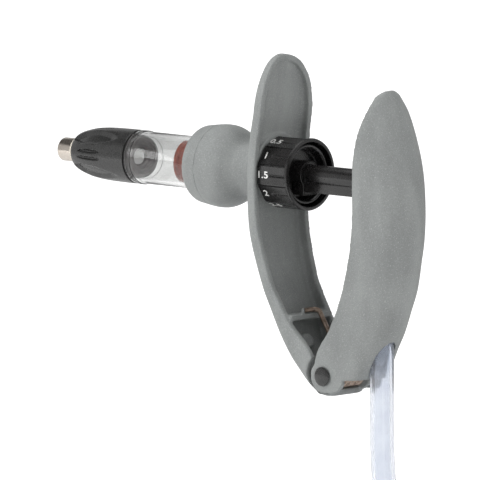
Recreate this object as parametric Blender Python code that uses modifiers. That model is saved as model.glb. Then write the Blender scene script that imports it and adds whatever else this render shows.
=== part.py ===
from math import acos, asin, cos, hypot, pi, radians, sin, sqrt

import bmesh
import bpy
from mathutils import Matrix, Vector

# Automatic dosing syringe, held upright in the hand. X runs along the barrel with the
# nozzle at -X, Z is up, and the origin is on the palm face of the rear handle, level
# with the barrel's axis. Everything is in metres.
for old in list(bpy.data.objects):
    bpy.data.objects.remove(old, do_unlink=True)

GAP = 0.0003
SEAM = 0.00008
ROUND_STEPS = 32
SMALL_STEPS = 16
MERGE = 0.00001

# Hinge and handles
PALM_REACH = 0.0362
AXIS_HEIGHT = 0.0753
HANDLE_WALL = 0.0024
FOOT_HALF_WIDTH = 0.0123
EAR_THICKNESS = 0.0024
EAR_R = 0.0065
KNUCKLE_R = 0.0068
KNUCKLE_THICKNESS = 0.0021
PIN_R = 0.0021
PIN_HEAD_R = 0.0037
PIN_HEAD_HEIGHT = 0.0013
SPRING_WIRE_R = 0.00086
SPRING_COIL_R = 0.0043
SPRING_TURNS = 7
SPRING_PER_TURN = 12
SPRING_FRONT_TURN = radians(206)
SPRING_REAR_TURN = radians(325.4)
SPRING_HOOK_X = -0.0179
SPRING_HOOK_Y = 0.0032
SPRING_BEND_R = 0.0022
SPRING_BEND_DROP = 0.0007
SPRING_REAR_END = (0.0195, 0.0207)

# Rib across the front handle's channel, its tab, and the boss below it
RIB_X = -0.0225
RIB_RISE = 0.0208
RIB_DEPTH = 0.0056
RIB_HALF_WIDTH = 0.0116
RIB_HEIGHT = 0.0024
TAB_DEPTH = 0.0012
TAB_RISE = 0.0022
TAB_NEAR_Y = -0.0050
TAB_FAR_Y = -0.0038
BOSS_R = 0.0028
BOSS_HEIGHT = 0.0028
BOSS_PLACE = (-0.0205, 0.0128)
BOSS_Y = 0.0030
BOSS_LEAN = radians(60)

# Front handle plate, neck and ball
PLATE_REACH = 0.0383
PLATE_DEPTH = 0.0056
PAD_R = 0.0132
PLATFORM_HALF_WIDTH = 0.0140
PLATFORM_TOP = 0.0147
BALL_REACH = 0.0237
BALL_R = 0.0162
NECK_R = 0.0101
NECK_BORE_R = 0.0091
BALL_CAVITY_R = 0.0112
SPIGOT_R = 0.0123

# Barrel, piston and dose
STROKE = 0.0220
DOSE_STEPS = 10
BARREL_BORE_R = 0.00855
BARREL_WALL = 0.00155
BARREL_RING_LENGTH = 0.0026
BARREL_RING_WALL = 0.0019
BARREL_SPIGOT_LENGTH = 0.0039
BARREL_SPIGOT_WALL = 0.00055
FLANGE_R = 0.0118
FLANGE_LENGTH = 0.0012
SEAL_RING_LENGTH = 0.0007
COLLAR_R = 0.0154
COLLAR_LENGTH = 0.0058
COLLAR_LIP = 0.0016
PISTON_SHOWS = 0.0097
PISTON_SEAL_LENGTH = 0.0078
PISTON_HUB_R = 0.0056
DEAD_LENGTH = 0.0007
INLET_CAVITY_R = 0.0036
INLET_CAVITY_LENGTH = 0.0055
CAGE_LENGTH = 0.0010

# Nut, nozzle and outlet valve
NUT_LENGTH = 0.0314
NUT_R = 0.01045
NUT_NOSE_R = 0.0046
NUT_PHASE = 46.0
NUT_SHAPE = ((0.49, 0.971), (0.66, 0.909), (0.83, 0.775), (0.95, 0.603))
LEAF_LEAN = radians(16)
GROOVE_LEAN = radians(9)
GROOVE_SPREAD = 6.5
GROOVE_R = 0.0007
GROOVE_HALF_LENGTH = 0.0055
GASKET_LENGTH = 0.0006
SEAT_SPIGOT_R = 0.00775
SEAT_FLANGE_LENGTH = 0.0020
SEAT_HOLE_R = 0.0036
VALVE_CHAMBER_R = 0.0063
VALVE_CHAMBER_LENGTH = 0.0131
NOSE_R = 0.0031
STUB_R = 0.0032
WASHER_LENGTH = 0.0006
WASHER_R = 0.0052
LUER_R = 0.00455
LUER_LENGTH = 0.0068
LUER_TAPER_R = 0.0021
BORE_R = 0.0009

# Dial
DIAL_R = 0.0140
DIAL_LENGTH = 0.0148
DIAL_LIP = 0.0020
DIAL_FLUTE = 0.0009
DIAL_RECESS = 0.0076
HUB_R = 0.0083
HUB_FLANGE_R = 0.0096
HUB_FLANGE_LENGTH = 0.0010
SLEEVE_R = 0.0052
SLEEVE_WALL = 0.0009
CIRCLIP_LENGTH = 0.0008
DETENT_R = 0.0011
DETENT_HEIGHT = 0.0112
DETENT_POCKET = 0.0040

# Rod and feed
ROD_R = 0.0039
ROD_BORE_R = 0.0018
KEY_REACH = 0.0066
KEY_HALF_WIDTH = 0.0024
CAM_R = 0.0074
CAM_BASE = 0.0022
FORK_SETBACK = 0.0144
FORK_PAD_R = 0.0022
SPOOL_R = 0.0070
SPOOL_CORE_R = 0.0050
SPOOL_FLANGE = 0.0017
ELBOW_SETBACK = 0.0068
ELBOW_R = 0.0046
SWIVEL_R = 0.0029
BARB_DROP = 0.0080
HOSE_R = 0.0045
NOTCH_ROOM = 0.0004
NOTCH_RISE = 0.0203
HOSE_BORE_R = 0.0030
COIL_TURN_R = 0.0500
COIL_HALF_WIDTH = 0.0092
SURFACE_Z = -0.1650
LANDING_Y = 0.0780
TAIL_RISE = 0.0026
TAIL_LENGTH = 0.0260

# Stations along the barrel's axis, from the hinge forward
HINGE_X = -PALM_REACH
HINGE_Z = -AXIS_HEIGHT
PLATE_FRONT_X = HINGE_X - PLATE_REACH
PLATE_REAR_X = PLATE_FRONT_X + PLATE_DEPTH
BALL_X = PLATE_FRONT_X - BALL_REACH
COLLAR_REAR_X = BALL_X - 0.0038
COLLAR_FRONT_X = COLLAR_REAR_X - COLLAR_LENGTH
FLANGE_FRONT_X = COLLAR_FRONT_X + COLLAR_LIP + GAP
FLANGE_REAR_X = FLANGE_FRONT_X + FLANGE_LENGTH
SEAL_RING_X = FLANGE_REAR_X + GAP
SPIGOT_FRONT_X = SEAL_RING_X + SEAL_RING_LENGTH + GAP
PISTON_FRONT_X = COLLAR_FRONT_X - PISTON_SHOWS
SEAT_REAR_X = PISTON_FRONT_X - STROKE - DEAD_LENGTH
RING_REAR_X = SEAT_REAR_X + 0.0012
RING_FRONT_X = RING_REAR_X - BARREL_RING_LENGTH
GASKET_REAR_X = RING_FRONT_X - GAP
NUT_REAR_X = GASKET_REAR_X - GASKET_LENGTH - GAP
BARREL_FRONT_X = RING_FRONT_X - BARREL_SPIGOT_LENGTH
SEAT_FLANGE_X = BARREL_FRONT_X - GAP
SEAT_FRONT_X = SEAT_FLANGE_X - SEAT_FLANGE_LENGTH
CHAMBER_REAR_X = SEAT_FRONT_X - GAP
CHAMBER_FRONT_X = CHAMBER_REAR_X - VALVE_CHAMBER_LENGTH
NUT_FRONT_X = NUT_REAR_X - NUT_LENGTH
WASHER_REAR_X = NUT_FRONT_X - GAP
LUER_REAR_X = WASHER_REAR_X - WASHER_LENGTH - GAP
LUER_FRONT_X = LUER_REAR_X - LUER_LENGTH

# Stations from the plate rearward
DIAL_FRONT_X = PLATE_REAR_X + GAP
DIAL_REAR_X = DIAL_FRONT_X + DIAL_LENGTH
DIAL_FLOOR_X = DIAL_REAR_X - DIAL_RECESS
HUB_FLANGE_X = DIAL_FLOOR_X + GAP
CIRCLIP_X = PLATE_FRONT_X - 0.0005
HUB_FRONT_X = CIRCLIP_X - CIRCLIP_LENGTH - 0.0006
CAM_REAR_X = HUB_FRONT_X - 2 * GAP
CAM_STEP = STROKE / DOSE_STEPS
CAM_LOW_X = CAM_REAR_X - (DOSE_STEPS - 1) * CAM_STEP
CAM_FRONT_X = CAM_LOW_X - CAM_BASE
STOP_X = CAM_LOW_X + GAP
FORK_X = -FORK_SETBACK
SPOOL_FRONT_X = FORK_X - FORK_PAD_R - GAP - SPOOL_FLANGE
SPOOL_REAR_X = FORK_X + FORK_PAD_R + GAP + SPOOL_FLANGE
ROD_REAR_X = SPOOL_REAR_X + 0.0004
ELBOW_X = -ELBOW_SETBACK
PISTON_REAR_X = PISTON_FRONT_X + PISTON_SEAL_LENGTH + 0.0029
BARREL_R = BARREL_BORE_R + BARREL_WALL
EAR_INNER_Y = FOOT_HALF_WIDTH - EAR_THICKNESS
KNUCKLE_OUTER_Y = EAR_INNER_Y - GAP
KNUCKLE_INNER_Y = KNUCKLE_OUTER_Y - KNUCKLE_THICKNESS

# Front handle rows, from the top down. The share says how far a row goes with the hinge,
# at 1, or with the plate on the barrel's axis, at 0. Then come its place from there, across
# and up, and the half width and depth of the channel at right angles to the front face.
FRONT_ROWS = (
    (0.0, 0.0025, 0.0235, 0.0150, 0.0058),
    (0.0, 0.0007, 0.0120, 0.0154, PLATE_DEPTH + 0.0002),
    (0.0, 0.0000, 0.0000, 0.0155, PLATE_DEPTH),
    (0.0, -0.0001, -0.0125, 0.0154, PLATE_DEPTH + 0.0003),
    (0.3, -0.0105, -0.0029, 0.0148, 0.0064),
    (0.6, -0.0170, 0.0027, 0.0139, 0.0064),
    (0.8, -0.0204, 0.0082, 0.0134, 0.0066),
    (1.0, -0.0236, 0.0141, 0.0129, 0.0072),
    (1.0, -0.0187, 0.0063, 0.0125, 0.0073),
    (1.0, -0.0134, 0.0003, FOOT_HALF_WIDTH, 0.0052),
    (1.0, -0.0088, -0.0042, FOOT_HALF_WIDTH, 0.0030),
    (1.0, -0.0044, -0.0070, FOOT_HALF_WIDTH, 0.0027),
    (1.0, 0.0012, -0.0079, FOOT_HALF_WIDTH, 0.0027),
)
ARCH_HEIGHT = 0.0223
ARCH_LEAN = 0.0020
ARCH_ROWS = 7
ARCH_EDGE = HANDLE_WALL + 0.0003
CORNER_R = 0.0040

# Rear handle rows, from below the dome down. The share is as for the front handle, but at 0
# a row goes with the palm face. Then come its height from there, the front rim and the palm
# side, and the half width and squareness of the section.
REAR_ROWS = (
    (0.0, 0.0338, -0.0148, -0.0112, 0.0063, 2.0),
    (0.0, 0.0268, -0.0157, -0.0089, 0.0113, 2.1),
    (0.0, 0.0190, -0.0173, -0.0056, 0.0140, 2.2),
    (0.0, 0.0093, -0.0183, -0.0022, 0.0153, 2.3),
    (0.0, 0.0000, -0.0185, 0.0000, 0.0155, 2.3),
    (0.0, -0.0120, -0.0186, 0.0010, 0.0152, 2.3),
    (0.25, -0.0032, -0.0107, 0.0099, 0.0148, 2.3),
    (0.4, 0.0001, -0.0071, 0.0142, 0.0144, 2.3),
    (0.6, 0.0042, -0.0034, 0.0189, 0.0138, 2.4),
    (0.8, 0.0107, 0.0003, 0.0232, 0.0134, 2.4),
    (1.0, 0.0173, 0.0028, 0.0266, 0.0129, 2.5),
    (1.0, 0.0103, -0.0025, 0.0222, 0.0125, 2.6),
    (1.0, 0.0043, -0.0046, 0.0184, FOOT_HALF_WIDTH, 3.0),
    (1.0, -0.0009, -0.0050, 0.0155, FOOT_HALF_WIDTH, 3.4),
)
DOME_HEIGHT = 0.0029
DOME_ROWS = 3
SECTION_STEPS = 14

# The riser swings from under the elbow to the notch in one smooth curve
RISER_TOP = -BARB_DROP - GAP
RISER_BEND_TOP = -0.0140
OUTLET_X = HINGE_X + 0.0194
OUTLET_Z = HINGE_Z + 0.0093
RISER_BEND_FOOT = OUTLET_Z + 0.0035
RISER_STEPS = 14

# Places that the hose passes on its way from the notch to the surface: to the side and up
HOSE_ROUTE = (
    (0.0, OUTLET_Z - GAP),
    (0.0, -0.0800),
    (0.0, -0.0920),
    (0.0003, -0.1050),
    (0.0017, -0.1170),
    (0.0057, -0.1300),
    (0.0132, -0.1430),
    (0.0237, -0.1540),
)

parts = bpy.data.collections.new("automatic_syringe")
guides = bpy.data.collections.new("cutters")
bpy.context.scene.collection.children.link(parts)
bpy.context.scene.collection.children.link(guides)


def material(name, colour, roughness, metallic=0.0, alpha=1.0):
    made = bpy.data.materials.new(name)
    made.use_nodes = True
    shader = made.node_tree.nodes["Principled BSDF"]
    shader.inputs["Base Color"].default_value = (*colour, 1.0)
    shader.inputs["Roughness"].default_value = roughness
    shader.inputs["Metallic"].default_value = metallic
    shader.inputs["Alpha"].default_value = alpha
    return made


GREY = material("grey_nylon", (0.29, 0.30, 0.29), 0.45)
BLACK = material("black_acetal", (0.02, 0.02, 0.02), 0.40)
CHARCOAL = material("charcoal_nylon", (0.07, 0.07, 0.065), 0.45)
CLEAR = material("clear_barrel", (0.85, 0.88, 0.88), 0.08, alpha=0.35)
TERRACOTTA = material("seal_rubber", (0.45, 0.10, 0.05), 0.50)
NICKEL = material("nickel_brass", (0.66, 0.62, 0.56), 0.22, 1.0)
STEEL = material("spring_steel", (0.55, 0.55, 0.55), 0.30, 1.0)
BRONZE = material("bronze_wire", (0.32, 0.22, 0.15), 0.35, 1.0)
CREAM = material("cream_washer", (0.80, 0.76, 0.68), 0.50)
WHITE = material("white_acetal", (0.80, 0.82, 0.82), 0.40)
HOSE = material("hose", (0.68, 0.70, 0.78), 0.25)


def add_object(name, mesh, finish, collection=parts):
    thing = bpy.data.objects.new(name, mesh)
    collection.objects.link(thing)
    if finish:
        mesh.materials.append(finish)
    if collection is guides:
        thing.hide_render = True
        thing.display_type = "WIRE"
    return thing


def smooth(thing, angle=35):
    thing.data.shade_smooth()
    thing.data.set_sharp_from_angle(angle=radians(angle))
    return thing


def along_x(thing, x=0.0, y=0.0, z=0.0):
    """Turn a piece made about Z so that its Z runs along the barrel's +X."""
    thing.rotation_euler = (0, pi / 2, 0)
    thing.location = (x, y, z)
    return thing


def along_y(thing, x=0.0, y=0.0, z=0.0):
    thing.rotation_euler = (-pi / 2, 0, 0)
    thing.location = (x, y, z)
    return thing


def turned(name, outline, finish, steps=ROUND_STEPS, closed=True, collection=parts):
    """Revolve (height, radius) points, listed down the outer side and back up the inner one."""
    shape = bmesh.new()
    dots = [shape.verts.new((radius, 0, height)) for height, radius in outline]
    for first, second in zip(dots, dots[1:]):
        shape.edges.new((first, second))
    if closed:
        shape.edges.new((dots[-1], dots[0]))
    mesh = bpy.data.meshes.new(name)
    shape.to_mesh(mesh)
    shape.free()
    thing = add_object(name, mesh, finish, collection)
    spin = thing.modifiers.new("spin", "SCREW")
    spin.angle = 2 * pi
    spin.steps = steps
    spin.render_steps = steps
    spin.use_merge_vertices = True
    spin.merge_threshold = MERGE
    spin.use_smooth_shade = True
    return thing


def extruded(name, outline, half, finish=None, collection=guides):
    """A flat (x, z) outline made into a plate that reaches half to each side of Y = 0."""
    shape = bmesh.new()
    face = shape.faces.new([shape.verts.new((x, -half, z)) for x, z in outline])
    grown = bmesh.ops.extrude_face_region(shape, geom=[face])
    moved = [item for item in grown["geom"] if isinstance(item, bmesh.types.BMVert)]
    bmesh.ops.translate(shape, verts=moved, vec=(0, 2 * half, 0))
    bmesh.ops.recalc_face_normals(shape, faces=shape.faces[:])
    mesh = bpy.data.meshes.new(name)
    shape.to_mesh(mesh)
    shape.free()
    return add_object(name, mesh, finish, collection)


def box(name, low, high, finish=None, collection=guides):
    shape = bmesh.new()
    bmesh.ops.create_cube(shape, size=1)
    size = [b - a for a, b in zip(low, high)]
    middle = [(a + b) / 2 for a, b in zip(low, high)]
    bmesh.ops.scale(shape, verts=shape.verts[:], vec=size)
    bmesh.ops.translate(shape, verts=shape.verts[:], vec=middle)
    mesh = bpy.data.meshes.new(name)
    shape.to_mesh(mesh)
    shape.free()
    return add_object(name, mesh, finish, collection)


def disc(name, radius, low, high, finish=None, collection=guides, steps=ROUND_STEPS):
    """A round bar about Z from low to high."""
    shape = bmesh.new()
    bmesh.ops.create_cone(shape, segments=steps, radius1=radius, radius2=radius, depth=high - low,
                          cap_ends=True)
    bmesh.ops.translate(shape, verts=shape.verts[:], vec=(0, 0, (high + low) / 2))
    mesh = bpy.data.meshes.new(name)
    shape.to_mesh(mesh)
    shape.free()
    return smooth(add_object(name, mesh, finish, collection))


def boolean(thing, other, operation="DIFFERENCE"):
    step = thing.modifiers.new(other.name, "BOOLEAN")
    step.operation = operation
    step.object = other
    step.solver = "EXACT"
    return thing


def catmull(rows, per_span):
    """Rows on a smooth curve through the given rows, per_span to each span."""
    ends = [tuple(2 * a - b for a, b in zip(rows[0], rows[1]))]
    tail = [tuple(2 * a - b for a, b in zip(rows[-1], rows[-2]))]
    held = ends + list(rows) + tail
    out = []
    for index in range(1, len(held) - 2):
        before, start, end, after = held[index - 1:index + 3]
        for part in range(per_span):
            t = part / per_span
            out.append(tuple(
                0.5 * (2 * b + (c - a) * t + (2 * a - 5 * b + 4 * c - d) * t ** 2
                       + (3 * b - a - 3 * c + d) * t ** 3)
                for a, b, c, d in zip(before, start, end, after)))
    out.append(tuple(rows[-1]))
    return out


def lofted(name, rows, finish, wall, collection=parts):
    """Skin open cross-sections with quads and give the sheet its wall on the inner side."""
    shape = bmesh.new()
    net = [[shape.verts.new(point) for point in row] for row in rows]
    for upper, lower in zip(net, net[1:]):
        for left in range(len(upper) - 1):
            shape.faces.new((upper[left], lower[left], lower[left + 1], upper[left + 1]))
    bmesh.ops.remove_doubles(shape, verts=shape.verts[:], dist=MERGE)
    bmesh.ops.recalc_face_normals(shape, faces=shape.faces[:])
    mesh = bpy.data.meshes.new(name)
    shape.to_mesh(mesh)
    shape.free()
    thing = smooth(add_object(name, mesh, finish, collection), 50)
    skin = thing.modifiers.new("wall", "SOLIDIFY")
    skin.thickness = wall
    skin.offset = -1
    skin.use_even_offset = True
    return thing


def shelled(name, outer, inner, finish, collection=parts):
    """Close two sheets of open cross-sections, each gathered to a line at its first row."""
    shape = bmesh.new()
    nets = [[[shape.verts.new(point) for point in row] for row in rows] for rows in (outer, inner)]
    for net in nets:
        for upper, lower in zip(net, net[1:]):
            for left in range(len(upper) - 1):
                shape.faces.new((upper[left], lower[left], lower[left + 1], upper[left + 1]))
    out, into = nets[0][-1], nets[1][-1]
    for left in range(len(out) - 1):
        shape.faces.new((out[left], into[left], into[left + 1], out[left + 1]))
    for edge in (0, -1):
        for index in range(len(outer) - 1):
            shape.faces.new((nets[0][index][edge], nets[0][index + 1][edge],
                             nets[1][index + 1][edge], nets[1][index][edge]))
    bmesh.ops.remove_doubles(shape, verts=shape.verts[:], dist=MERGE)
    bmesh.ops.recalc_face_normals(shape, faces=shape.faces[:])
    mesh = bpy.data.meshes.new(name)
    shape.to_mesh(mesh)
    shape.free()
    return smooth(add_object(name, mesh, finish, collection), 50)


def ringed(name, rings, finish, collection=parts):
    """Skin closed rings of equal count, the first and last of which meet end to end."""
    shape = bmesh.new()
    net = [[shape.verts.new(point) for point in ring] for ring in rings]
    for first, second in zip(net, net[1:] + net[:1]):
        count = len(first)
        for i in range(count):
            shape.faces.new((first[i], first[(i + 1) % count], second[(i + 1) % count], second[i]))
    bmesh.ops.recalc_face_normals(shape, faces=shape.faces[:])
    mesh = bpy.data.meshes.new(name)
    shape.to_mesh(mesh)
    shape.free()
    return smooth(add_object(name, mesh, finish, collection))


def wire(name, points, radius, finish, resolution=2):
    """A wire or hose along the points, turned into a closed mesh."""
    curve = bpy.data.curves.new(name, "CURVE")
    curve.dimensions = "3D"
    curve.bevel_depth = radius
    curve.bevel_resolution = resolution
    curve.use_fill_caps = True
    spline = curve.splines.new("POLY")
    spline.points.add(len(points) - 1)
    for dot, place in zip(spline.points, points):
        dot.co = (*place, 1)
    holder = bpy.data.objects.new(name, curve)
    parts.objects.link(holder)
    graph = bpy.context.evaluated_depsgraph_get()
    mesh = bpy.data.meshes.new_from_object(holder.evaluated_get(graph))
    shape = bmesh.new()
    shape.from_mesh(mesh)
    bmesh.ops.remove_doubles(shape, verts=shape.verts[:], dist=MERGE)
    bmesh.ops.recalc_face_normals(shape, faces=shape.faces[:])
    shape.to_mesh(mesh)
    shape.free()
    place = holder.matrix_world.copy()
    bpy.data.objects.remove(holder, do_unlink=True)
    bpy.data.curves.remove(curve)
    mesh.name = name
    thing = add_object(name, mesh, finish)
    thing.matrix_world = place
    return smooth(thing, 60)


def helix(centre, radius, low, high, turns, per_turn, start=0.0):
    """Points of a coil about the barrel's direction, from high to low along X."""
    count = round(turns * per_turn)
    out = []
    for step in range(count + 1):
        share = step / count
        angle = start + 2 * pi * turns * share
        out.append((high + (low - high) * share,
                    centre[0] + radius * cos(angle), centre[1] + radius * sin(angle)))
    return out


def by_hinge(x, z):
    """A place given from the hinge's axis, in world terms."""
    return HINGE_X + x, HINGE_Z + z


def channel_section(x, z, inward, half, depth, floor, corner):
    """Cross-section at right angles to the front face, from rim to rim past the floor."""
    foot = Vector((x, 0, z))
    bend = min(corner, half * 0.8, (depth - floor) * 0.8)
    side = [(depth, half)]
    for step in range(4):
        turn = step / 3 * pi / 2
        side.append((floor + bend * (1 - sin(turn)), half - bend * (1 - cos(turn))))
    side.append((floor, half / 3))
    points = [foot + inward * into + Vector((0, -y, 0)) for into, y in side]
    return points + [foot + inward * into + Vector((0, y, 0)) for into, y in reversed(side)]


def front_channel():
    placed = [(HINGE_X - PLATE_REACH * (1 - share) + x, HINGE_Z * share + z, half, depth)
              for share, x, z, half, depth in FRONT_ROWS]
    spine = catmull(placed, 2)
    x, z, half, depth = placed[0]
    sheets = []
    for wall in (0, HANDLE_WALL):
        rows = []
        for step in range(ARCH_ROWS):
            turn = step / ARCH_ROWS * pi / 2
            share = cos(turn)
            rows.append((x + ARCH_LEAN * share, z + (ARCH_HEIGHT - wall) * share,
                         (half - wall) * sin(turn),
                         ARCH_EDGE + (depth - ARCH_EDGE) * sin(turn)))
        rows += [(x, z, half - wall, depth) for x, z, half, depth in spine]
        sheet = []
        for index, (x, z, half, depth) in enumerate(rows):
            before = rows[max(index - 1, 0)]
            after = rows[min(index + 1, len(rows) - 1)]
            run = Vector((after[0] - before[0], 0, after[1] - before[1])).normalized()
            inward = Vector((-run.z, 0, run.x))
            corner = max(CORNER_R - wall, 0.0008)
            sheet.append(channel_section(x, z, inward, half, depth, wall, corner))
        sheets.append(sheet)
        x, z, half, depth = placed[0]
    return shelled("front_handle", *sheets, GREY)


def cross_rib():
    """Rib across the channel that the spring's front leg lies over, with its guide tab."""
    x, z = by_hinge(RIB_X, RIB_RISE)
    half = RIB_HEIGHT / 2
    rib = box("rib", (x, -RIB_HALF_WIDTH, z - half), (x + RIB_DEPTH, RIB_HALF_WIDTH, z + half))
    tab = box("rib_tab", (x + RIB_DEPTH - TAB_DEPTH, TAB_NEAR_Y, z),
              (x + RIB_DEPTH, TAB_FAR_Y, z + half + TAB_RISE))
    return boolean(rib, tab, "UNION")


def channel_boss():
    x, z = by_hinge(*BOSS_PLACE)
    boss = disc("channel_boss", BOSS_R, -BOSS_HEIGHT, BOSS_HEIGHT, steps=SMALL_STEPS)
    boss.rotation_euler = (0, BOSS_LEAN, 0)
    boss.location = (x, BOSS_Y, z)
    return boss


def ball_profile():
    """Outer side of the ball and neck, from the plate forward to the spigot."""
    outline = [(PLATE_FRONT_X + 0.0010, NECK_R + 0.0034)]
    for step in range(5):
        turn = step / 4 * pi / 2
        outline.append((PLATE_FRONT_X - 0.0030 * sin(turn), NECK_R + 0.0030 * (1 - sin(turn)) ** 2))
    reach = sqrt(BALL_R ** 2 - NECK_R ** 2)
    first = acos(reach / BALL_R)
    last = acos((COLLAR_REAR_X + GAP - BALL_X) / BALL_R)
    for step in range(9):
        turn = first + (last - first) * step / 8
        outline.append((BALL_X + BALL_R * cos(turn), BALL_R * sin(turn)))
    outline.append((COLLAR_REAR_X + GAP, SPIGOT_R))
    outline.append((SPIGOT_FRONT_X, SPIGOT_R))
    outline.append((SPIGOT_FRONT_X, 0.0))
    outline.insert(0, (PLATE_FRONT_X + 0.0010, 0.0))
    return outline


def bore_profile():
    """Everything that is hollow on the barrel's axis inside the front handle."""
    clear = 0.004
    return [
        (PLATE_REAR_X + clear, 0.0),
        (PLATE_REAR_X + clear, HUB_R + GAP),
        (PLATE_FRONT_X, HUB_R + GAP),
        (PLATE_FRONT_X, NECK_BORE_R),
        (BALL_X + 0.0110, NECK_BORE_R),
        (BALL_X + 0.0080, BALL_CAVITY_R),
        (SPIGOT_FRONT_X - clear, BALL_CAVITY_R),
        (SPIGOT_FRONT_X - clear, 0.0),
    ]


def pin_hole(name):
    bar = disc(name, PIN_R + GAP, -2 * FOOT_HALF_WIDTH, 2 * FOOT_HALF_WIDTH, steps=SMALL_STEPS)
    return along_y(bar, HINGE_X, 0, HINGE_Z)


def front_handle():
    handle = front_channel()
    pad = along_x(disc("pad", PAD_R, PLATE_FRONT_X + 0.0008, PLATE_REAR_X - SEAM))
    boolean(handle, pad, "UNION")
    platform = box("platform", (PLATE_FRONT_X + 0.0008, -PLATFORM_HALF_WIDTH, 0),
                   (PLATE_REAR_X - SEAM, PLATFORM_HALF_WIDTH, PLATFORM_TOP))
    boolean(handle, platform, "UNION")
    ball = along_x(turned("ball", ball_profile(), None, closed=False, collection=guides))
    boolean(handle, ball, "UNION")
    boolean(handle, cross_rib(), "UNION")
    boolean(handle, channel_boss(), "UNION")
    for side in (-1, 1):
        half = (KNUCKLE_THICKNESS + GAP) / 2
        middle = side * (KNUCKLE_INNER_Y + half)
        name = "near_knuckle" if side < 0 else "far_knuckle"
        knuckle = along_y(disc(name, KNUCKLE_R, -half, half), HINGE_X, middle, HINGE_Z)
        boolean(handle, knuckle, "UNION")
        name = "near_ear_recess" if side < 0 else "far_ear_recess"
        middle = side * (KNUCKLE_OUTER_Y + 0.003)
        recess = along_y(disc(name, EAR_R + 2 * GAP, -0.003, 0.003), HINGE_X, middle, HINGE_Z)
        boolean(handle, recess)
    bore = along_x(turned("axis_bore", bore_profile(), None, closed=False, collection=guides))
    boolean(handle, bore)
    boolean(handle, pin_hole("front_pin_hole"))
    pocket = disc("detent_pocket", DETENT_R + GAP, -DETENT_POCKET, DETENT_POCKET / 4, steps=SMALL_STEPS)
    boolean(handle, along_x(pocket, PLATE_REAR_X, 0, DETENT_HEIGHT))
    return handle


def lever_section(z, rim, palm, half, square):
    points = []
    for step in range(SECTION_STEPS + 1):
        turn = pi * (step / SECTION_STEPS - 0.5)
        across = abs(sin(turn)) ** (2 / square) * (1 if turn > 0 else -1)
        into = max(cos(turn), 0) ** (2 / square)
        points.append(Vector((rim + (palm - rim) * into, half * across, z)))
    return points


def rear_handle():
    placed = [(HINGE_Z * share + z, HINGE_X * share + rim, HINGE_X * share + palm, half, square)
              for share, z, rim, palm, half, square in REAR_ROWS]
    z, rim, palm, half, square = placed[0]
    tip = (rim + palm) / 2
    rows = []
    for step in range(DOME_ROWS):
        turn = step / DOME_ROWS * pi / 2
        rows.append((z + DOME_HEIGHT * cos(turn), tip + (rim - tip) * sin(turn),
                     tip + (palm - tip) * sin(turn), half * sin(turn), square))
    rows += catmull(placed, 2)
    sections = [lever_section(*row) for row in rows]
    handle = lofted("rear_handle", sections, GREY, HANDLE_WALL)
    reach = EAR_INNER_Y - SEAM
    room = along_y(disc("knuckle_room", KNUCKLE_R + GAP, -reach, reach), HINGE_X, 0, HINGE_Z)
    boolean(handle, room)
    for side in (-1, 1):
        boolean(handle, ear(side), "UNION")
        boolean(handle, fork_plate(side), "UNION")
        boolean(handle, fork_pad(side), "UNION")
    boolean(handle, hose_notch())
    return boolean(handle, pin_hole("rear_pin_hole"))


def ear(side):
    """Foot of a side wall: round about the hinge, running up into the wall."""
    outline = []
    for step in range(13):
        turn = radians(155 + step * 145 / 12)
        outline.append((HINGE_X + EAR_R * cos(turn), HINGE_Z + EAR_R * sin(turn)))
    outline += [by_hinge(0.0106, -0.0004), by_hinge(0.0103, 0.0053), by_hinge(0.0040, 0.0110),
                by_hinge(-0.0016, 0.0091)]
    plate = extruded("near_ear" if side < 0 else "far_ear", outline, EAR_THICKNESS / 2 - SEAM)
    plate.location.y = side * (FOOT_HALF_WIDTH - EAR_THICKNESS / 2)
    return plate


def fork_plate(side):
    """Rib inside the lever that carries one pad of the fork."""
    front = FORK_X - FORK_PAD_R - 0.0001
    back = -HANDLE_WALL - 0.0013
    outline = [(front, 0.0040), (front, -0.0040), (back, -0.0080), (back, -0.0010), (back - 0.0010, 0.0050)]
    plate = extruded("near_fork_plate" if side < 0 else "far_fork_plate", outline, 0.0009)
    plate.location.y = side * (SPOOL_R + GAP + 0.0011)
    return plate


def fork_pad(side):
    length = 0.0028
    pad = disc("near_fork_pad" if side < 0 else "far_fork_pad", FORK_PAD_R, 0, length, steps=SMALL_STEPS)
    along_y(pad, FORK_X, side * (SPOOL_CORE_R + GAP + length / 2) - length / 2, 0)
    return pad


def hose_notch():
    """Round groove down the palm wall's foot, which opens as an arch where the hose comes out."""
    groove = disc("hose_notch", HOSE_R + NOTCH_ROOM, OUTLET_Z - 0.020, HINGE_Z + NOTCH_RISE, steps=24)
    groove.location = (OUTLET_X, 0, 0)
    return groove


def hinge_pin():
    reach = FOOT_HALF_WIDTH + GAP
    outline = [(reach + 0.0016, 0), (reach + 0.0016, PIN_R - 0.0003), (reach + 0.0013, PIN_R),
               (-reach, PIN_R), (-reach, PIN_HEAD_R), (-reach - 0.0004, PIN_HEAD_R)]
    for step in range(1, 4):
        turn = step / 4 * pi / 2
        outline.append((-reach - 0.0004 - (PIN_HEAD_HEIGHT - 0.0004) * sin(turn), PIN_HEAD_R * cos(turn)))
    outline.append((-reach - PIN_HEAD_HEIGHT, 0))
    pin = turned("hinge_pin", outline, CHARCOAL, SMALL_STEPS, closed=False)
    return along_y(pin, HINGE_X, 0, HINGE_Z)


def pin_cap():
    low = FOOT_HALF_WIDTH + GAP
    outline = [(low + 0.0012, PIN_HEAD_R - 0.0008), (low + 0.0006, PIN_HEAD_R), (low, PIN_HEAD_R),
               (low, PIN_R + GAP), (low + 0.0012, PIN_R + GAP)]
    return along_y(turned("pin_cap", outline, CHARCOAL, SMALL_STEPS), HINGE_X, 0, HINGE_Z)


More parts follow.
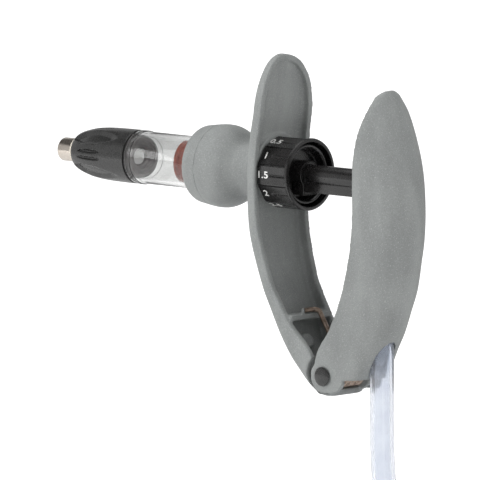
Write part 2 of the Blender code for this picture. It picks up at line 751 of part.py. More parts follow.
def spring_sleeve():
    half = KNUCKLE_INNER_Y - GAP
    inner = PIN_R + GAP
    outer = SPRING_COIL_R - SPRING_WIRE_R - GAP
    outline = [(half, outer), (-half, outer), (-half, inner), (half, inner)]
    return along_y(turned("spring_sleeve", outline, WHITE, SMALL_STEPS), HINGE_X, 0, HINGE_Z)


def handle_spring():
    """Torsion spring: the far leg hooks over the front handle's rib, the near leg lies in the lever."""
    reach = KNUCKLE_INNER_Y - GAP - SPRING_WIRE_R
    hook_x, hook_z = by_hinge(SPRING_HOOK_X, RIB_RISE + RIB_HEIGHT / 2 + SPRING_WIRE_R + GAP)
    points = [(hook_x, TAB_FAR_Y + GAP, hook_z)]
    for step in range(4):
        turn = step / 3 * pi / 2
        round_it = 1 - cos(turn)
        points.append((hook_x + SPRING_BEND_R * round_it, SPRING_HOOK_Y - SPRING_BEND_R * (1 - sin(turn)),
                       hook_z - SPRING_BEND_DROP * round_it ** 2))
    sweep = 2 * pi * (SPRING_TURNS - 1) + SPRING_REAR_TURN - SPRING_FRONT_TURN
    count = round(sweep / (2 * pi) * SPRING_PER_TURN)
    for step in range(count + 1):
        turn = SPRING_FRONT_TURN + sweep * step / count
        points.append((HINGE_X + SPRING_COIL_R * cos(turn), reach - 2 * reach * step / count,
                       HINGE_Z + SPRING_COIL_R * sin(turn)))
    end = by_hinge(*SPRING_REAR_END)
    points.append((end[0], -reach, end[1]))
    return wire("handle_spring", points, SPRING_WIRE_R, BRONZE)


def barrel_collar():
    inner = SPIGOT_R + GAP
    outline = [(COLLAR_REAR_X, COLLAR_R), (COLLAR_FRONT_X + 0.0010, COLLAR_R),
               (COLLAR_FRONT_X + 0.0003, COLLAR_R - 0.0003), (COLLAR_FRONT_X, COLLAR_R - 0.0010),
               (COLLAR_FRONT_X, BARREL_R + GAP), (COLLAR_FRONT_X + COLLAR_LIP, BARREL_R + GAP),
               (COLLAR_FRONT_X + COLLAR_LIP, inner), (COLLAR_REAR_X, inner)]
    return along_x(turned("barrel_collar", outline, GREY))


def barrel():
    ring_r = BARREL_BORE_R + BARREL_RING_WALL
    spigot_r = BARREL_BORE_R + BARREL_SPIGOT_WALL
    outline = [(FLANGE_REAR_X, FLANGE_R), (FLANGE_FRONT_X, FLANGE_R), (FLANGE_FRONT_X, BARREL_R),
               (RING_REAR_X, BARREL_R), (RING_REAR_X, ring_r), (RING_FRONT_X, ring_r),
               (RING_FRONT_X, spigot_r), (BARREL_FRONT_X, spigot_r),
               (BARREL_FRONT_X, BARREL_BORE_R), (FLANGE_REAR_X, BARREL_BORE_R)]
    return along_x(turned("barrel", outline, CLEAR))


def flat_ring(name, low, high, inner, outer, finish, steps=ROUND_STEPS):
    outline = [(high, outer), (low, outer), (low, inner), (high, inner)]
    return along_x(turned(name, outline, finish, steps))


def barrel_seal():
    rear = SEAL_RING_X + SEAL_RING_LENGTH
    return flat_ring("barrel_seal", SEAL_RING_X, rear, BARREL_BORE_R + 0.0006, FLANGE_R, BLACK)


def front_gasket():
    inner = BARREL_BORE_R + BARREL_SPIGOT_WALL + GAP
    front = GASKET_REAR_X - GASKET_LENGTH
    return flat_ring("front_gasket", front, GASKET_REAR_X, inner, NUT_R - 0.0003, BLACK)


def front_nut():
    """Nose-shaped nut with four leaf flats and four pairs of grooves between them."""
    bore_r = BARREL_BORE_R + BARREL_SPIGOT_WALL + GAP
    outline = [(NUT_REAR_X, NUT_R)]
    for share, taper in NUT_SHAPE:
        outline.append((NUT_REAR_X - NUT_LENGTH * share, NUT_R * taper))
    outline += [(NUT_FRONT_X, NUT_NOSE_R), (NUT_FRONT_X, STUB_R + GAP), (CHAMBER_FRONT_X, STUB_R + GAP),
                (CHAMBER_FRONT_X, VALVE_CHAMBER_R), (CHAMBER_REAR_X, VALVE_CHAMBER_R),
                (CHAMBER_REAR_X, bore_r), (NUT_REAR_X, bore_r)]
    nut = along_x(turned("front_nut", outline, CHARCOAL))
    for index in range(4):
        turn = radians(NUT_PHASE + 90 * index)
        slab = box(f"leaf_flat_{index + 1}", (0.0, -0.009, -0.022), (0.006, 0.009, 0.022))
        out = Vector((0, sin(turn), cos(turn)))
        place_slab(slab, out)
        boolean(nut, slab)
    for index in range(8):
        turn = radians(NUT_PHASE + 45 + 90 * (index // 2) + GROOVE_SPREAD * (1 if index % 2 else -1))
        out = Vector((0, sin(turn), cos(turn)))
        groove = disc(f"grip_groove_{index + 1}", GROOVE_R, -GROOVE_HALF_LENGTH, GROOVE_HALF_LENGTH, steps=8)
        place_groove(groove, out)
        boolean(nut, groove)
    return nut


def place_slab(slab, out):
    """Stand a slab against the nose so that its inner face leans towards the nozzle."""
    middle = Vector((NUT_FRONT_X + NUT_LENGTH * 0.42, 0, 0))
    forward = Vector((-1, 0, 0))
    normal = (out * cos(LEAF_LEAN) + forward * sin(LEAF_LEAN)).normalized()
    run = (forward * cos(LEAF_LEAN) - out * sin(LEAF_LEAN)).normalized()
    side = normal.cross(run)
    slab.matrix_world = frame_matrix(normal, side, run, middle + out * NUT_R * 0.86)


def place_groove(groove, out):
    forward = Vector((-1, 0, 0))
    run = (forward * cos(GROOVE_LEAN) - out * sin(GROOVE_LEAN)).normalized()
    side = out.cross(run).normalized()
    normal = run.cross(side)
    middle = Vector((NUT_FRONT_X + NUT_LENGTH * 0.36, 0, 0)) + out * NUT_R * 0.93
    groove.matrix_world = frame_matrix(normal, side, run, middle)


def frame_matrix(x_axis, y_axis, z_axis, place):
    """A world matrix from three axes and a place."""
    turn = Matrix((x_axis, y_axis, z_axis)).transposed()
    return Matrix.Translation(place) @ turn.to_4x4()


def nozzle_washer():
    front = WASHER_REAR_X - WASHER_LENGTH
    return flat_ring("nozzle_washer", front, WASHER_REAR_X, STUB_R + GAP, WASHER_R, CREAM, SMALL_STEPS)


def luer_nozzle():
    """Metal lock collar with the tapered tip inside it, on a threaded stub."""
    stub_end = CHAMBER_FRONT_X - 0.0020
    floor = LUER_REAR_X - 0.0015
    collar_r = LUER_R - 0.0008
    outline = [(stub_end, STUB_R), (LUER_REAR_X, STUB_R), (LUER_REAR_X, LUER_R - 0.0002),
               (LUER_REAR_X - 0.0003, LUER_R), (LUER_FRONT_X + 0.0003, LUER_R),
               (LUER_FRONT_X, LUER_R - 0.0002), (LUER_FRONT_X, collar_r), (floor, collar_r),
               (floor, LUER_TAPER_R + 0.0004), (LUER_FRONT_X + 0.0004, LUER_TAPER_R),
               (LUER_FRONT_X + 0.0004, BORE_R), (stub_end, BORE_R)]
    return along_x(turned("luer_nozzle", outline, NICKEL, 24))


def outlet_valve_seat():
    step_r = SEAT_SPIGOT_R - 0.0013
    flange_r = BARREL_BORE_R + BARREL_SPIGOT_WALL
    outline = [(SEAT_REAR_X, SEAT_SPIGOT_R), (SEAT_FLANGE_X, SEAT_SPIGOT_R),
               (SEAT_FLANGE_X, flange_r), (SEAT_FRONT_X, flange_r),
               (SEAT_FRONT_X, SEAT_HOLE_R), (SEAT_REAR_X - 0.0020, SEAT_HOLE_R),
               (SEAT_REAR_X - 0.0020, step_r - 0.0014), (SEAT_REAR_X - 0.0008, step_r - 0.0014),
               (SEAT_REAR_X - 0.0008, step_r), (SEAT_REAR_X, step_r)]
    return along_x(turned("outlet_valve_seat", outline, GREY))


def outlet_valve():
    head_rear = CHAMBER_REAR_X
    head_front = head_rear - 0.0014
    outline = [(SEAT_REAR_X - 0.0028, 0), (SEAT_REAR_X - 0.0028, NOSE_R), (head_rear, NOSE_R),
               (head_rear, VALVE_CHAMBER_R - 0.0011), (head_front, VALVE_CHAMBER_R - 0.0011),
               (head_front, 0.0015), (head_front - 0.0060, 0.0015), (head_front - 0.0060, 0)]
    return along_x(turned("outlet_valve", outline, WHITE, SMALL_STEPS, closed=False))


def outlet_valve_spring():
    high = CHAMBER_REAR_X - 0.0014 - 0.0007
    low = CHAMBER_FRONT_X + 0.0007
    points = helix((0, 0), 0.0028, low, high, 4, 8)
    return wire("outlet_valve_spring", points, 0.00035, STEEL, 1)


def piston_seal():
    """Cup seal with a lip at each end and a thin dark line in front of it."""
    lip_r = BARREL_BORE_R - GAP
    rear = PISTON_FRONT_X + PISTON_SEAL_LENGTH
    inner = PISTON_HUB_R + GAP
    outline = [(rear, lip_r - 0.0004), (rear - 0.0008, lip_r), (rear - 0.0018, lip_r),
               (rear - 0.0028, lip_r - 0.0007), (PISTON_FRONT_X + 0.0028, lip_r - 0.0007),
               (PISTON_FRONT_X + 0.0018, lip_r), (PISTON_FRONT_X + 0.0008, lip_r),
               (PISTON_FRONT_X, lip_r - 0.0004), (PISTON_FRONT_X, inner), (rear, inner)]
    return along_x(turned("piston_seal", outline, TERRACOTTA))


def piston_head():
    """Hub of the piston: seal in front of its flange, inlet valve in its nose, rod in its back."""
    nose = PISTON_FRONT_X + 0.0006
    flange = PISTON_FRONT_X + PISTON_SEAL_LENGTH + GAP
    floor = nose + INLET_CAVITY_LENGTH
    socket = floor + 0.0012
    flange_r = BARREL_BORE_R - 0.0005
    outline = [(PISTON_REAR_X, flange_r), (flange, flange_r), (flange, PISTON_HUB_R), (nose, PISTON_HUB_R),
               (nose, INLET_CAVITY_R), (floor, INLET_CAVITY_R), (floor, ROD_BORE_R),
               (socket, ROD_BORE_R), (socket, ROD_R + GAP), (PISTON_REAR_X, ROD_R + GAP)]
    return along_x(turned("piston_head", outline, BLACK))


def inlet_cage():
    low = PISTON_FRONT_X + 0.0006
    outer = INLET_CAVITY_R - 0.0002
    return flat_ring("inlet_valve_cage", low, low + CAGE_LENGTH, 0.0014, outer, WHITE, SMALL_STEPS)


def inlet_valve():
    floor = PISTON_FRONT_X + 0.0006 + INLET_CAVITY_LENGTH
    high = floor - GAP
    outline = [(high, 0), (high, INLET_CAVITY_R - 0.0007), (high - 0.0008, INLET_CAVITY_R - 0.0007),
               (high - 0.0008, 0.0009), (high - 0.0042, 0.0009), (high - 0.0042, 0)]
    return along_x(turned("inlet_valve", outline, WHITE, SMALL_STEPS, closed=False))


def inlet_valve_spring():
    floor = PISTON_FRONT_X + 0.0006 + INLET_CAVITY_LENGTH
    high = floor - GAP - 0.0008 - 0.00055
    low = PISTON_FRONT_X + 0.0006 + CAGE_LENGTH + 0.00055
    points = helix((0, 0), 0.0021, low, high, 3, 8)
    return wire("inlet_valve_spring", points, 0.00025, STEEL, 1)


def piston_rod():
    """Hollow rod with its key rib underneath and a swivel spigot at the rear."""
    front = PISTON_FRONT_X + 0.0006 + INLET_CAVITY_LENGTH + 0.0012 + GAP
    swivel_rear = ELBOW_X + 0.0014
    outline = [(swivel_rear, SWIVEL_R), (ROD_REAR_X, SWIVEL_R), (ROD_REAR_X, ROD_R), (front, ROD_R),
               (front, ROD_BORE_R), (swivel_rear, ROD_BORE_R)]
    rod = along_x(turned("piston_rod", outline, BLACK, 32))
    key = box("key_rib", (CAM_REAR_X + GAP, -KEY_HALF_WIDTH, -KEY_REACH),
              (SPOOL_FRONT_X - 0.0026, KEY_HALF_WIDTH, -ROD_R * 0.6))
    return boolean(rod, key, "UNION")


def rod_collar():
    outline = [(SPOOL_REAR_X, SPOOL_R), (SPOOL_REAR_X - SPOOL_FLANGE, SPOOL_R),
               (SPOOL_REAR_X - SPOOL_FLANGE, SPOOL_CORE_R), (SPOOL_FRONT_X + SPOOL_FLANGE, SPOOL_CORE_R),
               (SPOOL_FRONT_X + SPOOL_FLANGE, SPOOL_R), (SPOOL_FRONT_X, SPOOL_R),
               (SPOOL_FRONT_X, ROD_R + GAP), (SPOOL_REAR_X, ROD_R + GAP)]
    return along_x(turned("rod_collar", outline, BLACK, 32))


def dose_cam():
    """Sleeve on the rod with one step for each dose, each a tenth of the stroke higher."""
    shape = bmesh.new()
    inner = ROD_R + GAP
    per_step = 4
    count = DOSE_STEPS * per_step
    net = []
    for index in range(count):
        turn = 2 * pi * index / count
        for edge in (0, 1):
            level = (index - 1 + edge) // per_step if index or edge else DOSE_STEPS - 1
            top = CAM_LOW_X + CAM_STEP * level
            net.append((turn, top))
    rings = [(inner, True), (CAM_R, True), (CAM_R, False), (inner, False)]
    dots = []
    for radius, high in rings:
        dots.append([shape.verts.new((top if high else CAM_FRONT_X, radius * sin(turn), radius * cos(turn)))
                     for turn, top in net])
    total = len(net)
    for low_ring, high_ring in zip(dots, dots[1:] + dots[:1]):
        for i in range(total):
            after = (i + 1) % total
            shape.faces.new((low_ring[i], low_ring[after], high_ring[after], high_ring[i]))
    bmesh.ops.remove_doubles(shape, verts=shape.verts[:], dist=MERGE)
    bmesh.ops.recalc_face_normals(shape, faces=shape.faces[:])
    mesh = bpy.data.meshes.new("dose_cam")
    shape.to_mesh(mesh)
    shape.free()
    return add_object("dose_cam", mesh, BLACK)


def dose_stop():
    """Ring in the ball with the one tooth that stands behind the cam's lowest step."""
    ring = flat_ring("dose_stop", STOP_X, STOP_X + 0.0020, CAM_R + 0.0016, BALL_CAVITY_R - GAP, STEEL)
    reach = CAM_R + GAP
    tooth = box("stop_tooth", (STOP_X, -0.0015, -reach - 0.0025), (STOP_X + 0.0020, 0.0015, -reach))
    return boolean(ring, tooth, "UNION")


def dial_radius(turn, flute):
    """Radius of the knob: ten shallow hollows with a ridge between each two."""
    sector = 2 * pi / DOSE_STEPS
    share = (turn / sector) % 1.0
    return DIAL_R - flute * sin(pi * share) ** 0.8


def dose_dial():
    count = DOSE_STEPS * 5
    bore = HUB_R + GAP
    recess = DIAL_R - DIAL_LIP
    fluted = [(DIAL_FRONT_X, DIAL_FLUTE, -0.0006), (DIAL_FRONT_X + 0.0006, DIAL_FLUTE, 0.0),
              (DIAL_REAR_X - 0.0050, DIAL_FLUTE, 0.0), (DIAL_REAR_X - 0.0036, DIAL_FLUTE * 0.3, 0.0),
              (DIAL_REAR_X - 0.0030, 0.0, 0.0), (DIAL_REAR_X - 0.0005, 0.0, 0.0),
              (DIAL_REAR_X, 0.0, -0.0005)]
    plain = [(DIAL_REAR_X, recess), (DIAL_FLOOR_X, recess), (DIAL_FLOOR_X, bore), (DIAL_FRONT_X, bore)]
    rings = []
    for x, flute, trim in fluted:
        ring = []
        for index in range(count):
            turn = 2 * pi * index / count
            radius = dial_radius(turn, flute) + trim
            ring.append((x, radius * sin(turn), radius * cos(turn)))
        rings.append(ring)
    for x, radius in plain:
        rings.append([(x, radius * sin(2 * pi * i / count), radius * cos(2 * pi * i / count))
                      for i in range(count)])
    return ringed("dose_dial", rings, BLACK)


def keyhole(radius, half, reach, count=24):
    """Outline of a round hole with a slot below it, as (y, z) points."""
    edge = asin(half / radius)
    points = []
    for step in range(count + 1):
        turn = -pi / 2 + edge + (2 * pi - 2 * edge) * step / count
        points.append((radius * cos(turn), radius * sin(turn)))
    points += [(-half, -reach), (half, -reach)]
    return points


def keyhole_bar(name, outline, low, high):
    bar = extruded(name, outline, (high - low) / 2)
    bar.rotation_euler = (0, 0, -pi / 2)
    bar.location = ((low + high) / 2, 0, 0)
    return bar


def dial_hub():
    """Keyed sleeve that turns the rod with the dial, with the shaft that runs in the neck."""
    outline = [(HUB_FLANGE_X + HUB_FLANGE_LENGTH, 0), (HUB_FLANGE_X + HUB_FLANGE_LENGTH, HUB_FLANGE_R),
               (HUB_FLANGE_X, HUB_FLANGE_R), (HUB_FLANGE_X, HUB_R), (CIRCLIP_X + GAP, HUB_R),
               (CIRCLIP_X + GAP, HUB_R - 0.0006), (CIRCLIP_X - CIRCLIP_LENGTH - GAP, HUB_R - 0.0006),
               (CIRCLIP_X - CIRCLIP_LENGTH - GAP, HUB_R), (HUB_FRONT_X, HUB_R), (HUB_FRONT_X, 0)]
    hub = along_x(turned("dial_hub", outline, BLACK, closed=False))
    half = KEY_HALF_WIDTH + GAP + SLEEVE_WALL
    sleeve = keyhole_bar("sleeve", keyhole(SLEEVE_R, half, KEY_REACH + GAP + SLEEVE_WALL),
                         HUB_FLANGE_X + 0.0004, DIAL_REAR_X - 0.0002)
    boolean(hub, sleeve, "UNION")
    hole = keyhole_bar("keyed_bore", keyhole(ROD_R + GAP, KEY_HALF_WIDTH + GAP, KEY_REACH + GAP),
                       HUB_FRONT_X - 0.002, DIAL_REAR_X + 0.002)
    return boolean(hub, hole)


def dial_cap():
    """Dished ring that closes the recess round the keyed sleeve."""
    lip = DIAL_R - DIAL_LIP - GAP
    floor = HUB_FLANGE_X + HUB_FLANGE_LENGTH + GAP
    inner = hypot(KEY_REACH + GAP + SLEEVE_WALL, KEY_HALF_WIDTH + GAP + SLEEVE_WALL) + GAP
    rear = DIAL_REAR_X - 0.0007
    outline = [(rear, lip), (floor + 0.0020, lip), (floor, HUB_FLANGE_R), (floor, inner),
               (floor + 0.0008, inner), (floor + 0.0012, inner + 0.0008), (floor + 0.0026, lip - 0.0012),
               (rear - 0.0008, lip - 0.0006), (rear, lip - 0.0005)]
    return along_x(turned("dial_cap", outline, BLACK))


def dial_circlip():
    ring = flat_ring("dial_circlip", CIRCLIP_X - CIRCLIP_LENGTH, CIRCLIP_X, HUB_R - 0.0006 + GAP / 3,
                     NECK_BORE_R - 0.0002, STEEL)
    mouth = box("circlip_mouth", (CIRCLIP_X - 0.003, -0.0012, 0.004), (CIRCLIP_X + 0.003, 0.0012, 0.012))
    return boolean(ring, mouth)


def detent_ball():
    shape = bmesh.new()
    bmesh.ops.create_uvsphere(shape, u_segments=12, v_segments=8, radius=DETENT_R)
    mesh = bpy.data.meshes.new("detent_ball")
    shape.to_mesh(mesh)
    shape.free()
    ball = smooth(add_object("detent_ball", mesh, STEEL))
    ball.location = (PLATE_REAR_X - DETENT_R, 0, DETENT_HEIGHT)
    return ball


def detent_spring():
    high = PLATE_REAR_X - 2 * DETENT_R - 0.0004
    low = PLATE_REAR_X - DETENT_POCKET + 0.0004
    points = helix((0, DETENT_HEIGHT), DETENT_R - 0.0003, low, high, 2, 7)
    return wire("detent_spring", points, 0.0002, STEEL, 1)


def feed_elbow():
    """Swivel on the rod's spigot, with the barb that the hose is pushed on."""
    rear = ELBOW_X + 0.0028
    front = ROD_REAR_X + GAP
    body = along_x(turned("feed_elbow", [(rear, 0), (rear, ELBOW_R - 0.0012), (rear - 0.0010, ELBOW_R),
                                         (front, ELBOW_R), (front, 0)], BLACK, SMALL_STEPS, closed=False))
    barb_outline = [(-0.0010, 0), (-0.0010, HOSE_BORE_R), (-0.0048, HOSE_BORE_R),
                    (-0.0052, HOSE_BORE_R + 0.0005),
                    (-BARB_DROP, HOSE_BORE_R - 0.0004), (-BARB_DROP, 0)]
    barb = turned("barb", barb_outline, None, SMALL_STEPS, closed=False, collection=guides)
    barb.location = (ELBOW_X, 0, 0)
    boolean(body, barb, "UNION")
    swivel = along_x(disc("swivel_bore", SWIVEL_R + GAP, front - 0.002, ELBOW_X + 0.0017, steps=SMALL_STEPS))
    boolean(body, swivel)
    feed = disc("feed_bore", ROD_BORE_R, -BARB_DROP - 0.002, 0.0, steps=SMALL_STEPS)
    feed.location = (ELBOW_X, 0, 0)
    return boolean(body, feed)


def riser_x(z):
    """Where the hose's middle lies inside the lever at a height."""
    share = (RISER_BEND_TOP - z) / (RISER_BEND_TOP - RISER_BEND_FOOT)
    share = max(0.0, min(1.0, share))
    return ELBOW_X + (OUTLET_X - ELBOW_X) * share * share * (3 - 2 * share)


def hose_riser():
    points = []
    for step in range(RISER_STEPS + 1):
        z = RISER_TOP + (OUTLET_Z - RISER_TOP) * step / RISER_STEPS
        points.append((riser_x(z), 0, z))
    return wire("hose_riser", points, HOSE_R, HOSE)


def coil_centre():
    """Middle of the stored coil, beside the point where the hose comes down."""
    return OUTLET_X - COIL_TURN_R, LANDING_Y


def coil_entry():
    """How far before its widest point the hose meets the outside of the coil."""
    return sqrt((COIL_TURN_R + COIL_HALF_WIDTH) ** 2 - (COIL_TURN_R - HOSE_R) ** 2) + 2 * GAP


def feed_hose():
    route = HOSE_ROUTE + ((LANDING_Y - coil_entry(), SURFACE_Z + HOSE_R),)
    points = [(OUTLET_X, y, z) for y, z in route]
    return wire("feed_hose", points, HOSE_R, HOSE)


def tail_start():
    x, y = coil_centre()
    return x - coil_entry(), y + COIL_TURN_R


def hose_tail():
    """Free end, leaving the coil a quarter turn on from where the hose came in."""
    x, y = tail_start()
    points = []
    for step in range(5):
        share = step / 4
        rise = TAIL_RISE * share * share * (3 - 2 * share)
        points.append((x - TAIL_LENGTH * share, y, SURFACE_Z + HOSE_R + rise))
    return wire("hose_tail", points, HOSE_R, HOSE)


def bottle_connector():
    """Draw-off fitting at the far end: grip flange, body and pointed spike."""
    outline = [(-GAP, 0), (-GAP, HOSE_R + 0.0006), (-0.0060, HOSE_R + 0.0008), (-0.0062, HOSE_R + TAIL_RISE),
               (-0.0085, HOSE_R + TAIL_RISE), (-0.0087, 0.0046), (-0.0150, 0.0042), (-0.0156, 0.0030),
               (-0.0250, 0.0026), (-0.0330, 0.0004), (-0.0332, 0)]
    fitting = turned("bottle_connector", outline, WHITE, SMALL_STEPS, closed=False)
    x, y = tail_start()
    return along_x(fitting, x - TAIL_LENGTH, y, SURFACE_Z + HOSE_R + TAIL_RISE)


def hose_coil():
    """Outer shape of the stored turns, lying on the surface."""
    outer = COIL_TURN_R + COIL_HALF_WIDTH
    inner = COIL_TURN_R - COIL_HALF_WIDTH
    high = SURFACE_Z + 2 * COIL_HALF_WIDTH
    bend = 0.0030
    low = SURFACE_Z
    outline = [(high, outer - bend), (high - bend, outer), (low + bend, outer), (low, outer - bend),
               (low, inner + bend), (low + bend, inner), (high - bend, inner), (high, inner + bend)]
    coil = turned("hose_coil", outline, HOSE, 40)
    coil.location = (*coil_centre(), 0)
    return coil


front_handle()
rear_handle()
hinge_pin()
pin_cap()
spring_sleeve()
handle_spring()
barrel_collar()
barrel()
barrel_seal()
front_gasket()
front_nut()
nozzle_washer()
luer_nozzle()
outlet_valve_seat()
outlet_valve()
outlet_valve_spring()
piston_seal()
piston_head()
inlet_cage()
inlet_valve()
inlet_valve_spring()
piston_rod()
rod_collar()
dose_cam()
dose_stop()
dose_dial()
dial_hub()
dial_cap()
dial_circlip()
detent_ball()
detent_spring()
feed_elbow()
hose_riser()
feed_hose()
hose_coil()
hose_tail()
bottle_connector()
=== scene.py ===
from math import asin, cos, hypot, pi, radians, sin, sqrt

import bmesh
import bpy
from mathutils import Matrix, Vector


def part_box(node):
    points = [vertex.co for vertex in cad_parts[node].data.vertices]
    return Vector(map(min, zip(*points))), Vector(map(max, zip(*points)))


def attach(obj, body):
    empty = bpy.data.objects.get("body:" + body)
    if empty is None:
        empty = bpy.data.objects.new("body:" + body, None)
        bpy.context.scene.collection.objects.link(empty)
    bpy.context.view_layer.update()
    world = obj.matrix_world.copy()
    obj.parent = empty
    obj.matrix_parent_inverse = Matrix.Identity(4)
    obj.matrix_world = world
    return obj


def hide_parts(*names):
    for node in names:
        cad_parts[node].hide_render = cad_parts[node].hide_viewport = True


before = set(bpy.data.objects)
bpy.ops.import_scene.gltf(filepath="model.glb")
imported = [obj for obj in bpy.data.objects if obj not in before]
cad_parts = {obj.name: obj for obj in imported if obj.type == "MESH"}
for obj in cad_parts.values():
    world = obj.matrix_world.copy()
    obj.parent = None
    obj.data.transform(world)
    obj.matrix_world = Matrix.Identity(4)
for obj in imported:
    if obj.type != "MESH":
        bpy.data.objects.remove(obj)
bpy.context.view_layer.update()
scene = bpy.context.scene
scene.view_settings.view_transform = "Standard"


# ---- The table it is photographed on -------------------------------------------------
# A white sweep with a large soft lamp on the camera's left, a weaker one on its right and
# one overhead. The camera stands far off with a long lens, so that the picture is nearly
# a parallel one.
class Wire:
    """A socket in a node tree. Arithmetic on it adds its own Math nodes."""

    def __init__(self, tree, socket=None):
        self.tree = tree
        self.socket = socket

    def add(self, kind, settings=None, sockets=None, output=0):
        """A node of any kind, with its settings first and then a value or wire for each socket."""
        node = self.tree.nodes.new(kind)
        for name, value in (settings or {}).items():
            setattr(node, name, value)
        for name, value in (sockets or {}).items():
            if isinstance(value, Wire):
                self.tree.links.new(value.socket, node.inputs[name])
            else:
                node.inputs[name].default_value = value
        return Wire(self.tree, node.outputs[output])

    def maths(self, operation, *values):
        return self.add("ShaderNodeMath", {"operation": operation}, dict(enumerate(values)))

    def __add__(self, other):
        return self.maths("ADD", self, other)

    def __sub__(self, other):
        return self.maths("SUBTRACT", self, other)

    def __rsub__(self, other):
        return self.maths("SUBTRACT", other, self)

    def __mul__(self, other):
        return self.maths("MULTIPLY", self, other)

    __radd__ = __add__
    __rmul__ = __mul__

    def step(self, low, high):
        """0 below low and 1 above high, with a smooth rise between."""
        return self.add("ShaderNodeMapRange", {"interpolation_type": "SMOOTHSTEP"},
                        {"Value": self, "From Min": low, "From Max": high})

    def mix(self, low, high):
        """A colour that goes from low, where this is 0, to high, where it is 1."""
        return self.add("ShaderNodeMix", {"data_type": "RGBA"}, {0: self, 6: low, 7: high}, output=2)

    def spot(self):
        """Where a point lies on the finished piece."""
        return self.add("ShaderNodeTexCoord", output="Object")

    def noise(self, place, scale, detail=3.0, rough=0.5):
        return self.add("ShaderNodeTexNoise", {},
                        {"Vector": place, "Scale": scale, "Detail": detail, "Roughness": rough})

    def bump(self, height, distance, strength=1.0):
        return self.add("ShaderNodeBump", {}, {"Height": height, "Distance": distance, "Strength": strength})

    def ends(self, kind):
        """Wires this shader to the tree's output."""
        self.tree.links.new(self.socket, self.tree.nodes.new(kind).inputs["Surface"])


def seen_by(wire, *kinds):
    """1 for a ray of one of these kinds, else 0."""
    path = wire.tree.nodes.new("ShaderNodeLightPath").outputs
    seen = Wire(wire.tree, path[f"Is {kinds[0]} Ray"])
    for kind in kinds[1:]:
        seen = wire.maths("MAXIMUM", seen, Wire(wire.tree, path[f"Is {kind} Ray"]))
    return seen


world = bpy.data.worlds.new("studio")
scene.world = world
world.use_nodes = True
world.node_tree.nodes.clear()
sky = Wire(world.node_tree)
heading = sky.add("ShaderNodeTexCoord", output="Generated")
height = sky.add("ShaderNodeSeparateXYZ", {}, {"Vector": heading}, output="Z")
# What polished pieces mirror: a pale wall to a third of the way up, a dark gap and a bright ceiling.
panels = 0.50 - 0.43 * height.step(0.48, 0.62) + 0.96 * height.step(0.80, 0.92)
mirrored = seen_by(sky, "Glossy")
open_white = seen_by(sky, "Camera", "Transmission")
soft = 0.34 * (1 - open_white) * (1 - mirrored)
strength = soft + panels * mirrored * (1 - open_white) + open_white
light = sky.add("ShaderNodeBackground", {}, {"Color": (1.0, 1.0, 1.0, 1.0), "Strength": strength})
light.ends("ShaderNodeOutputWorld")

floor_mesh = bpy.data.meshes.new("floor")
floor_mesh.from_pydata([(-2, -2, 0), (2, -2, 0), (2, 2, 0), (-2, 2, 0)], [], [(0, 1, 2, 3)])
floor = bpy.data.objects.new("floor", floor_mesh)
scene.collection.objects.link(floor)
floor.location.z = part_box("hose_coil")[0].z - 0.0002
paper = bpy.data.materials.new("white_paper")
paper.use_nodes = True
paper.node_tree.nodes.clear()
sheet = Wire(paper.node_tree)
lit = sheet.add("ShaderNodeBsdfDiffuse", {}, {"Color": (0.86, 0.86, 0.86, 1.0)})
bright = sheet.add("ShaderNodeEmission", {}, {"Color": (1.0, 1.0, 1.0, 1.0), "Strength": 1.5})
shown = seen_by(sheet, "Camera", "Transmission")
both = sheet.add("ShaderNodeMixShader", {}, {0: shown * 0.78, 1: lit, 2: bright})
both.ends("ShaderNodeOutputMaterial")
floor_mesh.materials.append(paper)

VIEW_AZIMUTH = radians(42.5)
VIEW_RISE = radians(6.8)
VIEW_AIM = Vector((-0.0906, 0.0002, -0.0282))
VIEW_WIDTH = 0.1846
LENS = 1400.0
look = Vector((-sin(VIEW_AZIMUTH) * cos(VIEW_RISE), cos(VIEW_AZIMUTH) * cos(VIEW_RISE), -sin(VIEW_RISE)))
camera_data = bpy.data.cameras.new("camera")
camera_data.lens = LENS
camera_data.clip_end = 30
camera = bpy.data.objects.new("camera", camera_data)
scene.collection.objects.link(camera)
camera.location = VIEW_AIM - look * (VIEW_WIDTH * LENS / camera_data.sensor_width)
camera.rotation_euler = look.to_track_quat("-Z", "Y").to_euler()
scene.camera = camera

for name, place, size, power in (
    ("key_lamp", (-0.80, -1.10, 0.45), 0.8, 12.0),
    ("fill_lamp", (1.05, -0.25, 0.45), 0.9, 6.0),
    ("top_lamp", (-0.2, -0.1, 1.2), 0.8, 8.0),
):
    lamp = bpy.data.lights.new(name, "AREA")
    lamp.shape = "SQUARE"
    lamp.size = size
    lamp.energy = power
    lamp_object = bpy.data.objects.new(name, lamp)
    scene.collection.objects.link(lamp_object)
    lamp_object.location = place
    lamp_object.rotation_euler = (VIEW_AIM - Vector(place)).to_track_quat("-Z", "Y").to_euler()
    lamp_object.visible_camera = False
    lamp_object.visible_glossy = False


# ---- Feed hose -----------------------------------------------------------------------
# Soft translucent hose, 9 mm outside and 6 mm inside. It is pushed on the elbow's barb,
# runs down inside the rear handle, leaves it by the arch at the foot and hangs to the
# table, where the rest of it is stored in a round coil of three and a quarter turns.
def mm(*values):
    """Millimetres as a vector in metres."""
    return Vector(values) / 1000


def ease(share):
    share = max(0.0, min(1.0, share))
    return share * share * (3 - 2 * share)


def ramped(share, ramp=0.35):
    """From 0 to 1 at one even speed, with a gentle start and stop."""
    share = max(0.0, min(1.0, share))
    speed = 1 / (1 - ramp)
    if share < ramp:
        return speed * share * share / (2 * ramp)
    if share > 1 - ramp:
        return 1 - speed * (1 - share) ** 2 / (2 * ramp)
    return speed * (share - ramp / 2)


